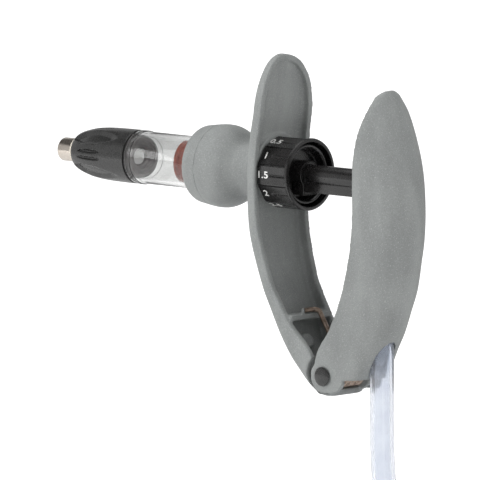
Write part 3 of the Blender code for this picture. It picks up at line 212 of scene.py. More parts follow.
def catmull(rows, per_span):
    """Rows on a smooth curve through the given rows, per_span to each span."""
    first = tuple(2 * a - b for a, b in zip(rows[0], rows[1]))
    last = tuple(2 * a - b for a, b in zip(rows[-1], rows[-2]))
    held = [first, *rows, last]
    out = []
    for index in range(1, len(held) - 2):
        for part in range(per_span):
            t = part / per_span
            out.append(tuple(
                0.5 * (2 * b + (c - a) * t + (2 * a - 5 * b + 4 * c - d) * t ** 2
                       + (3 * b - a - 3 * c + d) * t ** 3)
                for a, b, c, d in zip(*held[index - 1:index + 3])))
    out.append(tuple(rows[-1]))
    return out


HOSE_OUTER = 0.0046
HOSE_INNER = 0.0030
# The hose's way in millimetres: down the handle, out at its foot, to the table and round.
RISER_X = -6.8
RISER_TOP = -8.3
RISER_FOOT = -66.0
LEAN_START = -14.0
LEAN_END = -62.5
HOSE_OUT_X = -16.8
HOSE_DROP = ((0.0, -66.3), (0.0, -80.0), (0.0, -92.0), (0.3, -105.0), (1.7, -117.0), (5.7, -130.0),
             (13.2, -143.0), (23.7, -154.0), (39.5, -160.4))
COIL_MIDDLE = (-66.8, 78.0, -155.8)
COIL_TURN = 50.0
COIL_SLOT = 4.6
COIL_TURNS = 3
TAIL_RUN = 38.5
TAIL_END = (-131.3, 128.0)
TAIL_LIFT = 2.5


def hose_route():
    points = []
    for step in range(24):
        z = RISER_TOP - (RISER_TOP - RISER_FOOT) * step / 24
        lean = ease((LEAN_START - z) / (LEAN_START - LEAN_END))
        points.append(mm(RISER_X + (HOSE_OUT_X - RISER_X) * lean, 0, z))
    points += [mm(HOSE_OUT_X, y, z) for y, z in catmull(HOSE_DROP, 5)[:-1]]
    low, out = COIL_MIDDLE[2] - COIL_SLOT, COIL_MIDDLE[0] + COIL_TURN + COIL_SLOT
    for step in range(14):
        share = step / 14
        y = HOSE_DROP[-1][0] + (COIL_MIDDLE[1] - HOSE_DROP[-1][0]) * share
        points.append(mm(HOSE_OUT_X + (out - HOSE_OUT_X) * ease(share), y, low))
    turn_steps = 90
    for step in range(COIL_TURNS * turn_steps + turn_steps // 4 + 1):
        turn = 360.0 * step / turn_steps
        whole, part = divmod(turn, 360.0)
        slot = radians(-45 - 90 * (whole + ramped(part / 90)))
        reach = COIL_TURN + COIL_SLOT * sqrt(2) * cos(slot)
        rise = COIL_MIDDLE[2] + COIL_SLOT * sqrt(2) * sin(slot)
        points.append(mm(COIL_MIDDLE[0] + reach * cos(radians(turn)),
                         COIL_MIDDLE[1] + reach * sin(radians(turn)), rise))
    away = COIL_MIDDLE[1] + COIL_TURN + COIL_SLOT
    start = COIL_MIDDLE[0] - TAIL_RUN
    for step in range(1, 15):
        share = step / 14
        points.append(mm(COIL_MIDDLE[0] - TAIL_RUN * share, away + (TAIL_END[1] - away) * ease(share), low))
    for step in range(1, 9):
        share = step / 8
        points.append(mm(start + (TAIL_END[0] - start) * share, TAIL_END[1], low + TAIL_LIFT * ease(share)))
    return points


def pipe(points, radii, sides):
    """A pipe along the points, its outer and inner wall joined at both ends, with its own UV map."""
    verts, faces, places = [], [], []
    ahead = [(b - a).normalized() for a, b in zip(points, points[1:])]
    ahead.append(ahead[-1])
    side = ahead[0].orthogonal().normalized()
    run = 0.0
    for index, point in enumerate(points):
        if index:
            run += (point - points[index - 1]).length
        along = (ahead[max(index - 1, 0)] + ahead[index]).normalized()
        side = (side - along * side.dot(along)).normalized()
        up = along.cross(side)
        for radius in radii:
            for step in range(sides):
                turn = 2 * pi * step / sides
                verts.append(point + (side * cos(turn) + up * sin(turn)) * radius)
                places.append((run, step / sides))
    span = 2 * sides
    last = (len(points) - 1) * span
    for step in range(sides):
        after = (step + 1) % sides
        for low in range(0, last, span):
            high = low + span
            faces.append((low + step, low + after, high + after, high + step))
            faces.append((low + sides + after, low + sides + step, high + sides + step, high + sides + after))
        faces.append((step, sides + step, sides + after, after))
        faces.append((last + step, last + after, last + sides + after, last + sides + step))
    mesh = bpy.data.meshes.new("pipe")
    mesh.from_pydata(verts, [], faces)
    coords = mesh.uv_layers.new(name="UVMap")
    for polygon in mesh.polygons:
        turns = [places[mesh.loops[i].vertex_index][1] for i in polygon.loop_indices]
        wraps = max(turns) - min(turns) > 0.5
        for i in polygon.loop_indices:
            along, around = places[mesh.loops[i].vertex_index]
            coords.data[i].uv = (along, around + 1 if wraps and around < 0.5 else around)
    mesh.shade_smooth()
    return mesh


def fitted(name, mesh, material, body, slot, *nodes):
    """A piece at the origin in its finish, fixed to a body, and the solids that it stands for."""
    mesh.name = name
    mesh.materials.clear()
    mesh.materials.append(material)
    made = bpy.data.objects.new(name, mesh)
    scene.collection.objects.link(made)
    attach(made, body)
    if nodes:
        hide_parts(*nodes)
    return made


def finish(name, fixed, paint):
    """A material: what is the same all over goes straight on the shader, and paint gives the rest."""
    made = bpy.data.materials.new(name)
    made.use_nodes = True
    shader = made.node_tree.nodes["Principled BSDF"]
    for socket, value in fixed.items():
        shader.inputs[socket].default_value = value
    for socket, wire in paint(Wire(made.node_tree)).items():
        made.node_tree.links.new(wire.socket, shader.inputs[socket])
    return made


def hose_paint(wire):
    """Faint streaks along the hose from the die, a light haze of handling marks, and painted shade near the
    handle.
    """
    around = wire.add("ShaderNodeUVMap", {"uv_map": "UVMap"})
    drawn = wire.add("ShaderNodeMapping", {}, {"Vector": around, "Scale": (3.0, 46.0, 1.0)})
    streak = wire.noise(drawn, 1.0, 2.0)
    place = wire.spot()
    haze = wire.noise(place, 220.0, 4.0)
    tint = (streak * 0.6 + haze * 0.4).step(0.3, 0.7)
    height = wire.add("ShaderNodeSeparateXYZ", {}, {"Vector": place}, output="Z")
    base = tint.mix((0.76, 0.79, 0.855, 1.0), (0.88, 0.90, 0.935, 1.0))
    return {
        # Painted shade: the hose turns darker and bluer towards its top, where it runs up into the handle.
        "Base Color": height.step(-0.080, -0.060).mix(base, (0.66, 0.71, 0.80, 1.0)),
        "Roughness": haze.step(0.2, 0.9) * 0.08 + 0.13,
        "Normal": wire.bump(streak + haze * 0.3, 0.00015, 0.5),
    }


soft_hose = finish("translucent_hose", {"Transmission Weight": 0.84, "IOR": 1.36,
                                        "Specular IOR Level": 0.5}, hose_paint)
hose_points = hose_route()
hose = fitted("feed_hose_tube", pipe(hose_points, (HOSE_OUTER, HOSE_INNER), 24), soft_hose,
              "rear_handle", "hose", "hose_riser", "feed_hose", "hose_coil", "hose_tail")


# ---- Draw-off fitting ----------------------------------------------------------------
# White moulded spike that pushes into the bottle's cap. The hose slips over its barb and
# stops at the round grip flange.
def rounded(outline, radius, closed=True):
    """The outline with its corners cut to short curves."""
    count = len(outline)
    out = []
    for index, corner in enumerate(outline):
        if not closed and index in (0, count - 1):
            out.append(tuple(corner))
            continue
        here = Vector(corner)
        before = Vector(outline[index - 1]) - here
        after = Vector(outline[(index + 1) % count]) - here
        reach = min(radius, before.length * 0.4, after.length * 0.4)
        start, end = here + before.normalized() * reach, here + after.normalized() * reach
        for step in range(4):
            t = step / 3
            out.append(tuple(start * (1 - t) ** 2 + here * (2 * t * (1 - t)) + end * t ** 2))
    return out


def ring(along, radius_at, steps, side=1):
    """Points round the barrel's line, from the top. The radius may change with the turn."""
    points = []
    for step in range(steps):
        turn = 2 * pi * step / steps
        radius = radius_at(turn)
        points.append((along, side * radius * sin(turn), radius * cos(turn)))
    return points


def ring_mesh(rings, closed=True, place=None, sharp=38):
    """A skin through rings of points, put in place and smooth up to the sharp angle."""
    steps = len(rings[0])
    faces = []
    for index in range(len(rings) if closed else len(rings) - 1):
        low, high = index * steps, (index + 1) % len(rings) * steps
        for step in range(steps):
            after = (step + 1) % steps
            faces.append((low + step, low + after, high + after, high + step))
    mesh = bpy.data.meshes.new("rings")
    mesh.from_pydata([point for points in rings for point in points], [], faces)
    tidy(mesh)
    if place:
        mesh.transform(place)
    mesh.shade_smooth()
    mesh.set_sharp_from_angle(angle=radians(sharp))
    return mesh


def turned(outline, steps=96, soft=0.0002, closed=True, place=None):
    """A piece from the lathe: (along, radius) points with softened corners, spun about X."""
    if soft:
        outline = rounded(outline, soft, closed)
    return ring_mesh([ring(along, lambda turn: max(radius, 0.0), steps) for along, radius in outline],
                     closed, place)


def tidy(mesh):
    """Merges what lies in one place and turns every face outwards."""
    shape = bmesh.new()
    shape.from_mesh(mesh)
    bmesh.ops.remove_doubles(shape, verts=shape.verts[:], dist=0.000004)
    bmesh.ops.dissolve_degenerate(shape, edges=shape.edges[:], dist=0.000002)
    bmesh.ops.recalc_face_normals(shape, faces=shape.faces[:])
    shape.to_mesh(mesh)
    shape.free()
    return mesh


def plain_paint(dark, light, grain, rough, depth):
    """Moulded plastic: an uneven tone, fine grain and a skin that is nowhere quite the same."""
    def paint(wire):
        place = wire.spot()
        cloud = wire.noise(place, 90.0, 3.0)
        fine = wire.noise(place, grain, 4.0, 0.65)
        tone = (cloud * 0.45 + fine * 0.55).step(0.34, 0.66)
        return {
            "Base Color": tone.mix((*dark, 1.0), (*light, 1.0)),
            "Roughness": (fine * 0.5 + cloud * 0.5).step(0.3, 0.7) * 0.12 + rough,
            "Normal": wire.bump(fine + cloud * 0.2, depth, 0.6),
        }
    return paint


white_acetal = finish("white_acetal_moulding", {"Subsurface Weight": 0.15, "Subsurface Radius": (0.002,) * 3},
                      plain_paint((0.70, 0.71, 0.70), (0.86, 0.87, 0.85), 1800.0, 0.28, 0.00004))
spike_outline = [(-0.0003, 0.0), (-0.0003, 0.0049), (0.0020, 0.0052), (0.0058, 0.0052), (0.0060, 0.0071),
                 (0.0085, 0.0071), (0.0087, 0.0048), (0.0110, 0.0046), (0.0112, 0.0042), (0.0124, 0.0042),
                 (0.0126, 0.0045), (0.0150, 0.0043), (0.0156, 0.0031), (0.0190, 0.0029), (0.0194, 0.0033),
                 (0.0206, 0.0029), (0.0250, 0.0026), (0.0326, 0.0006), (0.0332, 0.0)]
spike_outline = [(-along, radius) for along, radius in spike_outline]
spike_place = Matrix.Translation(mm(TAIL_END[0], TAIL_END[1], COIL_MIDDLE[2] - COIL_SLOT + TAIL_LIFT))
fitting = fitted("draw_off_fitting", turned(spike_outline, 64, 0.0004, False, spike_place), white_acetal,
                 "rear_handle", "white_acetal", "bottle_connector")


# ---- Rear handle ---------------------------------------------------------------------
# The lever that lies in the palm: a deep shell of grey glass-filled nylon, open towards
# the barrel, with two ears for the hinge pin, a fork inside for the rod's collar and an
# arch at the foot for the hose. Moulded in one, with every rim a little rounded.
HINGE = mm(-36.2, 0, -75.3)
WALL = 0.0024
FOOT_HALF = 0.0123
EAR_R = 0.0065
EAR_WALL = 0.0024
EAR_HEEL = ((0.0046, -0.0062), (0.0068, -0.0055), (0.0086, -0.0040), (0.0096, -0.0022), (0.0070, 0.0030),
            (0.0004, 0.0070), (-0.0038, 0.0056))
KNUCKLE_ROOM = 0.0071
PIN_HOLE = 0.0024
FORK = ((-0.0167, 0.0040), (-0.0167, -0.0040), (-0.0037, -0.0080), (-0.0037, -0.0010), (-0.0047, 0.0050))
FORK_MIDDLE = 0.0084
FORK_PAD_X = -0.0144
FORK_PAD_R = 0.0022
FORK_PAD_IN = 0.0053
FORK_PAD_OUT = 0.0081
ARCH_R = 0.0049
# Each row: the share of the hinge's place that it moves with, height, rim, palm, half width, squareness.
REAR_ROWS = (
    (0.0, 0.0334, -0.0148, -0.0112, 0.0066, 2.0),
    (0.0, 0.0268, -0.0157, -0.0089, 0.0113, 2.1),
    (0.0, 0.0190, -0.0174, -0.0060, 0.0140, 2.2),
    (0.0, 0.0093, -0.0185, -0.0029, 0.0153, 2.3),
    (0.0, 0.0000, -0.0188, -0.0008, 0.0155, 2.3),
    (0.0, -0.0120, -0.0189, 0.0002, 0.0152, 2.3),
    (0.25, -0.0032, -0.0110, 0.0091, 0.0148, 2.3),
    (0.4, 0.0001, -0.0073, 0.0135, 0.0144, 2.3),
    (0.6, 0.0042, -0.0034, 0.0189, 0.0138, 2.4),
    (0.8, 0.0107, 0.0003, 0.0232, 0.0134, 2.4),
    (1.0, 0.0173, 0.0028, 0.0266, 0.0129, 2.8),
    (1.0, 0.0103, -0.0025, 0.0222, 0.0125, 3.4),
    (1.0, 0.0043, -0.0046, 0.0184, FOOT_HALF, 4.4),
    (1.0, -0.0009, -0.0050, 0.0155, FOOT_HALF, 5.5),
)


def tool(name, mesh):
    """A solid that only shapes another one and is taken away afterwards."""
    made = bpy.data.objects.new(name, mesh)
    scene.collection.objects.link(made)
    made.hide_render = True
    return made


def as_mesh(shape):
    mesh = bpy.data.meshes.new("shape")
    shape.to_mesh(mesh)
    shape.free()
    return mesh


def bar(name, start, end, radius, steps=48):
    """A round bar between two points."""
    run = Vector(end) - Vector(start)
    shape = bmesh.new()
    bmesh.ops.create_cone(shape, segments=steps, radius1=radius, radius2=radius,
                          depth=run.length, cap_ends=True)
    mesh = as_mesh(shape)
    mesh.transform(Matrix.Translation((Vector(start) + Vector(end)) / 2)
                   @ run.to_track_quat("Z", "Y").to_matrix().to_4x4())
    return tool(name, mesh)


def hinge_bar(name, low, high, radius, steps=48, x=0.0, z=0.0):
    """A bar across the handles between two places, on the hinge's line or beside it."""
    return bar(name, (HINGE.x + x, low, HINGE.z + z), (HINGE.x + x, high, HINGE.z + z), radius, steps)


def flat_plate(name, outline, low, high):
    """An (x, z) outline made into a plate between two places across."""
    shape = bmesh.new()
    face = shape.faces.new([shape.verts.new((x, low, z)) for x, z in outline])
    grown = bmesh.ops.extrude_face_region(shape, geom=[face])
    moved = [item for item in grown["geom"] if isinstance(item, bmesh.types.BMVert)]
    bmesh.ops.translate(shape, verts=moved, vec=(0, high - low, 0))
    bmesh.ops.recalc_face_normals(shape, faces=shape.faces[:])
    return tool(name, as_mesh(shape))


def join(target, other, operation="UNION"):
    step = target.modifiers.new(other.name, "BOOLEAN")
    step.operation = operation
    step.object = other
    step.solver = "EXACT"


def cut(target, other):
    join(target, other, "DIFFERENCE")


def moulded(rough, cell, passes):
    """One moulding out of the joined solids: remeshed, softened at its edges and freed of its tools."""
    tools = [step.object for step in rough.modifiers if step.type == "BOOLEAN"]
    skin = rough.modifiers.new("skin", "REMESH")
    skin.mode = "VOXEL"
    skin.voxel_size = cell
    skin.use_smooth_shade = True
    soften = rough.modifiers.new("soften", "SMOOTH")
    soften.factor = 0.5
    soften.iterations = passes
    graph = bpy.context.evaluated_depsgraph_get()
    mesh = bpy.data.meshes.new_from_object(rough.evaluated_get(graph))
    for old in (rough, *tools):
        bpy.data.objects.remove(old, do_unlink=True)
    mesh.shade_smooth()
    return mesh


def weave(shape, rows):
    """Quads between rows of points, and the corners that they hang on."""
    net = [[shape.verts.new(point) for point in row] for row in rows]
    for upper, lower in zip(net, net[1:]):
        for left in range(len(upper) - 1):
            shape.faces.new((upper[left], lower[left], lower[left + 1], upper[left + 1]))
    return net


def sealed(shape):
    """The shape as a mesh, with its doubles merged and its faces turned outwards."""
    bmesh.ops.remove_doubles(shape, verts=shape.verts[:], dist=0.00001)
    bmesh.ops.recalc_face_normals(shape, faces=shape.faces[:])
    return as_mesh(shape)


def lever_rows(per_span, across_steps):
    placed = [(HINGE.z * share + z, HINGE.x * share + rim, HINGE.x * share + palm, half, square)
              for share, z, rim, palm, half, square in REAR_ROWS]
    z, rim, palm, half, square = placed[0]
    tip = (rim + palm) / 2
    rows = []
    for step in range(8):
        share = step / 8
        rows.append((z + 0.0023 * (1 - share ** 2), tip + (rim - tip) * share,
                     tip + (palm - tip) * share, half * share, square))
    rows += catmull(placed, per_span)
    sections = []
    for z, rim, palm, half, square in rows:
        section = []
        for step in range(across_steps + 1):
            turn = pi * (step / across_steps - 0.5)
            side = abs(sin(turn)) ** (2 / square) * (1 if turn > 0 else -1)
            into = max(cos(turn), 0) ** (2 / square)
            section.append((rim + (palm - rim) * into, half * side, z))
        sections.append(section)
    return sections


def grey_paint(wire):
    """Glass-filled nylon: spark-eroded skin, fine pale flecks and soft flow clouds."""
    place = wire.spot()
    cloud = wire.noise(place, 38.0, 3.0, 0.5)
    streaks = wire.add("ShaderNodeMapping", {}, {"Vector": place, "Scale": (1.0, 1.0, 0.22)})
    flow = wire.noise(streaks, 160.0, 3.0)
    grain = wire.noise(place, 1500.0, 5.0, 0.7)
    flecks = wire.noise(place, 2600.0, 1.0).step(0.60, 0.74)
    tone = (cloud * 0.3 + flow * 0.3 + grain * 0.4).step(0.34, 0.66)
    base = tone.mix((0.215, 0.225, 0.222, 1.0), (0.305, 0.318, 0.313, 1.0))
    return {
        "Base Color": (flecks * 0.50).mix(base, (0.50, 0.515, 0.51, 1.0)),
        "Roughness": (grain * 0.6 + cloud * 0.4).step(0.3, 0.7) * 0.16 + 0.40,
        "Normal": wire.bump(grain + flecks * 0.6 + cloud * 0.2, 0.00014, 0.6),
    }


grey_nylon = finish("grey_glass_filled_nylon", {"Specular IOR Level": 0.45}, grey_paint)


def rear_handle():
    sheet = bmesh.new()
    weave(sheet, lever_rows(6, 44))
    lever = tool("lever", sealed(sheet))
    wall = lever.modifiers.new("wall", "SOLIDIFY")
    wall.thickness = WALL
    wall.offset = -1
    wall.use_even_offset = True
    inner = FOOT_HALF - EAR_WALL
    room = inner - 0.00008
    cut(lever, hinge_bar("knuckle_room", -room, room, KNUCKLE_ROOM))
    turns = [radians(155 + step * 130 / 24) for step in range(25)]
    ear = [(EAR_R * cos(turn), EAR_R * sin(turn)) for turn in turns] + list(EAR_HEEL)
    ear = [(HINGE.x + x, HINGE.z + z) for x, z in ear]
    for side in (-1, 1):
        low, high = sorted((side * inner, side * FOOT_HALF))
        join(lever, flat_plate("ear", ear, low + 0.0001, high - 0.0001))
        middle = side * FORK_MIDDLE
        join(lever, flat_plate("fork", FORK, middle - 0.0009, middle + 0.0009))
        join(lever, bar("fork_pad", (FORK_PAD_X, side * FORK_PAD_IN, 0), (FORK_PAD_X, side * FORK_PAD_OUT, 0),
                        FORK_PAD_R, 32))
    arch = HINGE.x + 0.0194
    cut(lever, bar("hose_arch", (arch, 0, -0.0860), (arch, 0, -0.0550), ARCH_R, 64))
    cut(lever, hinge_bar("pin_hole", -0.02, 0.02, PIN_HOLE, 32))
    return moulded(lever, 0.00042, 5)


fitted("rear_handle_shell", rear_handle(), grey_nylon, "rear_handle", "grey_nylon", "rear_handle")


# ---- Hinge pin -----------------------------------------------------------------------
# Charcoal nylon pin with a shallow domed head on the near side and a pressed cap on the
# far one. A white sleeve on it keeps the spring's turns round.
charcoal = finish("charcoal_nylon_moulding", {"Specular IOR Level": 0.85},
                  plain_paint((0.015, 0.015, 0.0148), (0.026, 0.026, 0.0255), 1500.0, 0.22, 0.00001))
ABOUT_HINGE = Matrix.Translation(HINGE) @ Matrix.Rotation(pi / 2, 4, "Z")
PIN_R = 0.0021
HEAD_R = 0.0037
HEAD_SEAT = 0.0126
HEAD_EDGE = 0.0129
HEAD_DOME = 0.0010
pin_outline = [(0.0142, 0.0), (0.0142, 0.0016), (0.0138, PIN_R), (-HEAD_SEAT, PIN_R), (-HEAD_SEAT, HEAD_R),
               (-HEAD_EDGE, HEAD_R)]
for step in range(1, 11):
    turn = step / 10 * pi / 2
    pin_outline.append((-HEAD_EDGE - HEAD_DOME * sin(turn), HEAD_R * cos(turn)))
fitted("hinge_pin_turned", turned(pin_outline, 64, 0.0002, False, ABOUT_HINGE), charcoal,
       "rear_handle", "charcoal_nylon", "hinge_pin")
cap_outline = [(0.0138, 0.0029), (0.0132, HEAD_R), (HEAD_SEAT, HEAD_R), (HEAD_SEAT, 0.0024), (0.0138, 0.0024)]
fitted("pin_cap_turned", turned(cap_outline, 64, 0.0002, True, ABOUT_HINGE), charcoal,
       "rear_handle", "charcoal_nylon", "pin_cap")


def coated(material, *nodes):
    """Gives the solids that are shown as they are their finish."""
    for node in nodes:
        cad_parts[node].material_slots[0].material = material


coated(white_acetal, "spring_sleeve")


# ---- Handle spring -------------------------------------------------------------------
# Torsion spring of brown tempered wire round the hinge. Its far leg runs up the front
# handle, bends over the cross rib and butts against the rib's tab; its near leg lies in
# the rear handle. The line of the wire is laid out first and then given its thickness.
def wire_tree():
    """Node tree that gives a line of edges a round section, capped ends and a finish."""
    tree = bpy.data.node_groups.new("drawn_wire", "GeometryNodeTree")
    tree.interface.new_socket("Line", in_out="INPUT", socket_type="NodeSocketGeometry")
    tree.interface.new_socket("Wire radius", in_out="INPUT", socket_type="NodeSocketFloat")
    tree.interface.new_socket("Sides", in_out="INPUT", socket_type="NodeSocketInt")
    tree.interface.new_socket("Finish", in_out="INPUT", socket_type="NodeSocketMaterial")
    tree.interface.new_socket("Wire", in_out="OUTPUT", socket_type="NodeSocketGeometry")
    given = tree.nodes.new("NodeGroupInput").outputs
    line = Wire(tree)
    curve = line.add("GeometryNodeMeshToCurve", {}, {"Mesh": Wire(tree, given["Line"])})
    round_section = line.add("GeometryNodeCurvePrimitiveCircle", {"mode": "RADIUS"}, {
        "Resolution": Wire(tree, given["Sides"]), "Radius": Wire(tree, given["Wire radius"])})
    body = line.add("GeometryNodeCurveToMesh", {},
                    {"Curve": curve, "Profile Curve": round_section, "Fill Caps": True})
    real = line.add("GeometryNodeRealizeInstances", {}, {"Geometry": body})
    done = line.add("GeometryNodeSetMaterial", {},
                    {"Geometry": real, "Material": Wire(tree, given["Finish"])})
    tree.links.new(done.socket, tree.nodes.new("NodeGroupOutput").inputs["Wire"])
    return tree


drawn_wire = wire_tree()


def through_tree(mesh, tree, **inputs):
    """Runs a mesh through a node tree and gives the plain mesh that comes out."""
    holder = bpy.data.objects.new("line", mesh)
    scene.collection.objects.link(holder)
    step = holder.modifiers.new("tree", "NODES")
    step.node_group = tree
    for item in tree.interface.items_tree:
        label = item.name.replace(" ", "_").lower()
        if item.in_out == "INPUT" and label in inputs:
            step[item.identifier] = inputs[label]
    graph = bpy.context.evaluated_depsgraph_get()
    made = bpy.data.meshes.new_from_object(holder.evaluated_get(graph))
    bpy.data.objects.remove(holder, do_unlink=True)
    return tidy(made)


def wound(points, radius, metal, sides=16):
    """Round wire along the points."""
    line = bpy.data.meshes.new("line")
    line.from_pydata(points, [(i, i + 1) for i in range(len(points) - 1)], [])
    mesh = through_tree(line, drawn_wire, wire_radius=radius, sides=sides, finish=metal)
    mesh.shade_smooth()
    mesh.set_sharp_from_angle(angle=radians(50))
    return mesh


def bronze_paint(wire):
    """Oil-tempered wire: brown oxide, lighter and more metallic in random rubbed patches."""
    place = wire.spot()
    stain = wire.noise(place, 420.0, 4.0, 0.6)
    fine = wire.noise(place, 2600.0, 3.0)
    tone = (stain * 0.7 + fine * 0.3).step(0.35, 0.65)
    return {
        "Base Color": tone.mix((0.22, 0.160, 0.125, 1.0), (0.46, 0.365, 0.30, 1.0)),
        "Roughness": fine.step(0.3, 0.7) * 0.2 + 0.30,
        "Metallic": stain.step(0.2, 0.5) * 0.3 + 0.65,
        "Normal": wire.bump(fine, 0.00003, 0.5),
    }


bronze_wire = finish("tempered_spring_wire", {}, bronze_paint)
SPRING_WIRE = 0.00096
SPRING_REACH = 0.00638
SPRING_COIL = 0.0043
SPRING_TURNS = 6
HOOK_X = -0.0179
HOOK_Z = 0.02316
HOOK_BEND = 0.0022
LEAVES_COIL = 206
MEETS_COIL = 325.4
spring_line = [HINGE + Vector((HOOK_X, -0.0035, HOOK_Z))]
for step in range(9):
    turn = step / 8 * pi / 2
    bend = 1 - cos(turn)
    spring_line.append(HINGE + Vector((HOOK_X + HOOK_BEND * bend, 0.0032 - HOOK_BEND * (1 - sin(turn)),
                                       HOOK_Z - 0.0007 * bend ** 2)))
spring_sweep = 2 * pi * SPRING_TURNS + radians(MEETS_COIL - LEAVES_COIL)
for step in range(253):
    share = step / 252
    turn = radians(LEAVES_COIL) + spring_sweep * share
    spring_line.append(HINGE + Vector((SPRING_COIL * cos(turn), SPRING_REACH * (1 - 2 * share),
                                       SPRING_COIL * sin(turn))))
spring_line.append(HINGE + Vector((0.0195, -SPRING_REACH, 0.0207)))
fitted("handle_spring_wire", wound(spring_line, SPRING_WIRE, bronze_wire), bronze_wire,
       "rear_handle", "bronze_wire", "handle_spring")


# ---- Front handle --------------------------------------------------------------------
# The handle that the fingers pull: a channel of the same grey nylon with a thin rim all
# round, the ball and neck that hold the barrel moulded on its front, a round pad behind
# for the dial, and low down a cross rib with a tab for the spring.
PLATE_REACH = 0.0383
PLATE_FRONT = HINGE.x - PLATE_REACH
PLATE_REAR = PLATE_FRONT + 0.0056
# Each row: the share of the hinge's place that it moves with, x, height, half width and rim height.
FRONT_ROWS = (
    (0.0, 0.0025, 0.0235, 0.0150, 0.0058),
    (0.0, 0.0007, 0.0120, 0.0154, 0.0058),
    (0.0, 0.0000, 0.0000, 0.0155, 0.0056),
    (0.0, -0.0001, -0.0125, 0.0154, 0.0059),
    (0.3, -0.0105, -0.0029, 0.0148, 0.0064),
    (0.6, -0.0170, 0.0027, 0.0139, 0.0064),
    (0.8, -0.0204, 0.0082, 0.0134, 0.0072),
    (1.0, -0.0236, 0.0141, 0.0129, 0.0085),
    (1.0, -0.0187, 0.0063, 0.0125, 0.0104),
    (1.0, -0.0134, 0.0003, FOOT_HALF, 0.0100),
    (1.0, -0.0088, -0.0042, FOOT_HALF, 0.0070),
    (1.0, -0.0044, -0.0070, FOOT_HALF, 0.0038),
    (1.0, -0.0020, -0.0075, 0.0119, 0.0027),
    (1.0, 0.0002, -0.0079, 0.0108, 0.0027),
    (1.0, 0.0012, -0.0080, 0.0082, 0.0027),
)
BALL_X = PLATE_FRONT - 0.0237
COLLAR_REAR = BALL_X - 0.0038
SPIGOT_FRONT = COLLAR_REAR - 0.0014
BALL_FRONT = -0.1005
BALL_SHAPE = ((-0.0981, 0.0161), (-0.0950, 0.0159), (-0.0920, 0.0149), (-0.0895, 0.0134), (-0.0873, 0.0116),
              (-0.0853, 0.0104), (-0.0830, 0.0099), (-0.0800, 0.0099), (-0.0775, 0.0104), (-0.0757, 0.0117),
              (-0.0745, 0.0135))
DIAL_SEAT = PLATE_REAR - 0.0010
DIAL_ROOM = 0.0144
PAD_R = 0.0136
PAD_Z = 0.0013
AXIS_BORE = 0.0086
SPIGOT_BORE = 0.0112
RIB = HINGE + Vector((-0.0225, 0, 0.0208))
RIB_HALF = 0.0116
RIB_DEPTH = 0.0056
RIB_WALL = 0.0024
BOSS = HINGE + Vector((-0.0186, -0.0028, 0.0104))
BOSS_LEAN = radians(60)
KNUCKLE_R = 0.0068
KNUCKLE_IN = 0.0075
KNUCKLE_OUT = 0.0096
RECESS_R = 0.0078


def channel_section(x, z, inward, half, depth, floor_depth, corner):
    bend = min(corner, half * 0.8, (depth - floor_depth) * 0.8)
    side = [(depth, half), ((depth + floor_depth + bend) / 2, half)]
    for step in range(9):
        turn = step / 8 * pi / 2
        side.append((floor_depth + bend * (1 - sin(turn)), half - bend * (1 - cos(turn))))
    side += [(floor_depth, half * 0.55), (floor_depth, half * 0.25)]
    foot = Vector((x, 0, z))
    points = [foot + inward * into + Vector((0, -y, 0)) for into, y in side]
    return points + [foot + inward * into + Vector((0, y, 0)) for into, y in reversed(side)]


def front_sheets():
    placed = [(HINGE.x - PLATE_REACH * (1 - share) + x, HINGE.z * share + z, half, depth)
              for share, x, z, half, depth in FRONT_ROWS]
    spine = catmull(placed, 6)
    x, z, half, depth = placed[0]
    edge = WALL + 0.0003
    sheets = []
    for wall in (0, WALL):
        rows = []
        for step in range(16):
            turn = step / 16 * pi / 2
            share = cos(turn)
            rows.append((x + 0.0020 * share, z + (0.0221 - wall) * share, (half - wall) * sin(turn) ** 0.84,
                         edge + (depth - edge) * sin(turn)))
        rows += [(u, w, h - wall, d) for u, w, h, d in spine]
        net = []
        for index, (u, w, h, d) in enumerate(rows):
            before, after = rows[max(index - 1, 0)], rows[min(index + 1, len(rows) - 1)]
            run = Vector((after[0] - before[0], 0, after[1] - before[1])).normalized()
            inward = Vector((-run.z, 0, run.x))
            net.append(channel_section(u, w, inward, h, d, wall, max(0.0040 - wall, 0.0008)))
        sheets.append(net)
    return sheets


def channel_mesh():
    shape = bmesh.new()
    outer, inner = (weave(shape, rows) for rows in front_sheets())
    for left in range(len(outer[-1]) - 1):
        shape.faces.new((outer[-1][left], inner[-1][left], inner[-1][left + 1], outer[-1][left + 1]))
    for edge in (0, -1):
        for index in range(len(outer) - 1):
            shape.faces.new((outer[index][edge], outer[index + 1][edge],
                             inner[index + 1][edge], inner[index][edge]))
    return sealed(shape)


def ball_outline():
    outline = [(PLATE_FRONT + 0.0010, 0.0), (PLATE_FRONT + 0.0010, 0.0135), *reversed(catmull(BALL_SHAPE, 5))]
    return outline + [(BALL_FRONT, 0.01585), (BALL_FRONT, 0.0123),
                      (SPIGOT_FRONT, 0.0123), (SPIGOT_FRONT, 0.0)]


def ejector_ring():
    """A fine ring in the channel floor, left by the pin that pushed the moulding out."""
    low = PLATE_FRONT + WALL - 0.0020
    outline = [(low + 0.0017, 0.0023), (low + 0.0040, 0.0023), (low + 0.0040, 0.0027), (low + 0.0017, 0.0027)]
    return turned(outline, 64, 0, True, Matrix.Translation((0.0005, 0, -0.0212)))


def block(name, low, high):
    """A square block between two corners."""
    shape = bmesh.new()
    bmesh.ops.create_cube(shape, size=1)
    bmesh.ops.scale(shape, verts=shape.verts[:], vec=[b - a for a, b in zip(low, high)])
    bmesh.ops.translate(shape, verts=shape.verts[:], vec=[(a + b) / 2 for a, b in zip(low, high)])
    return tool(name, as_mesh(shape))


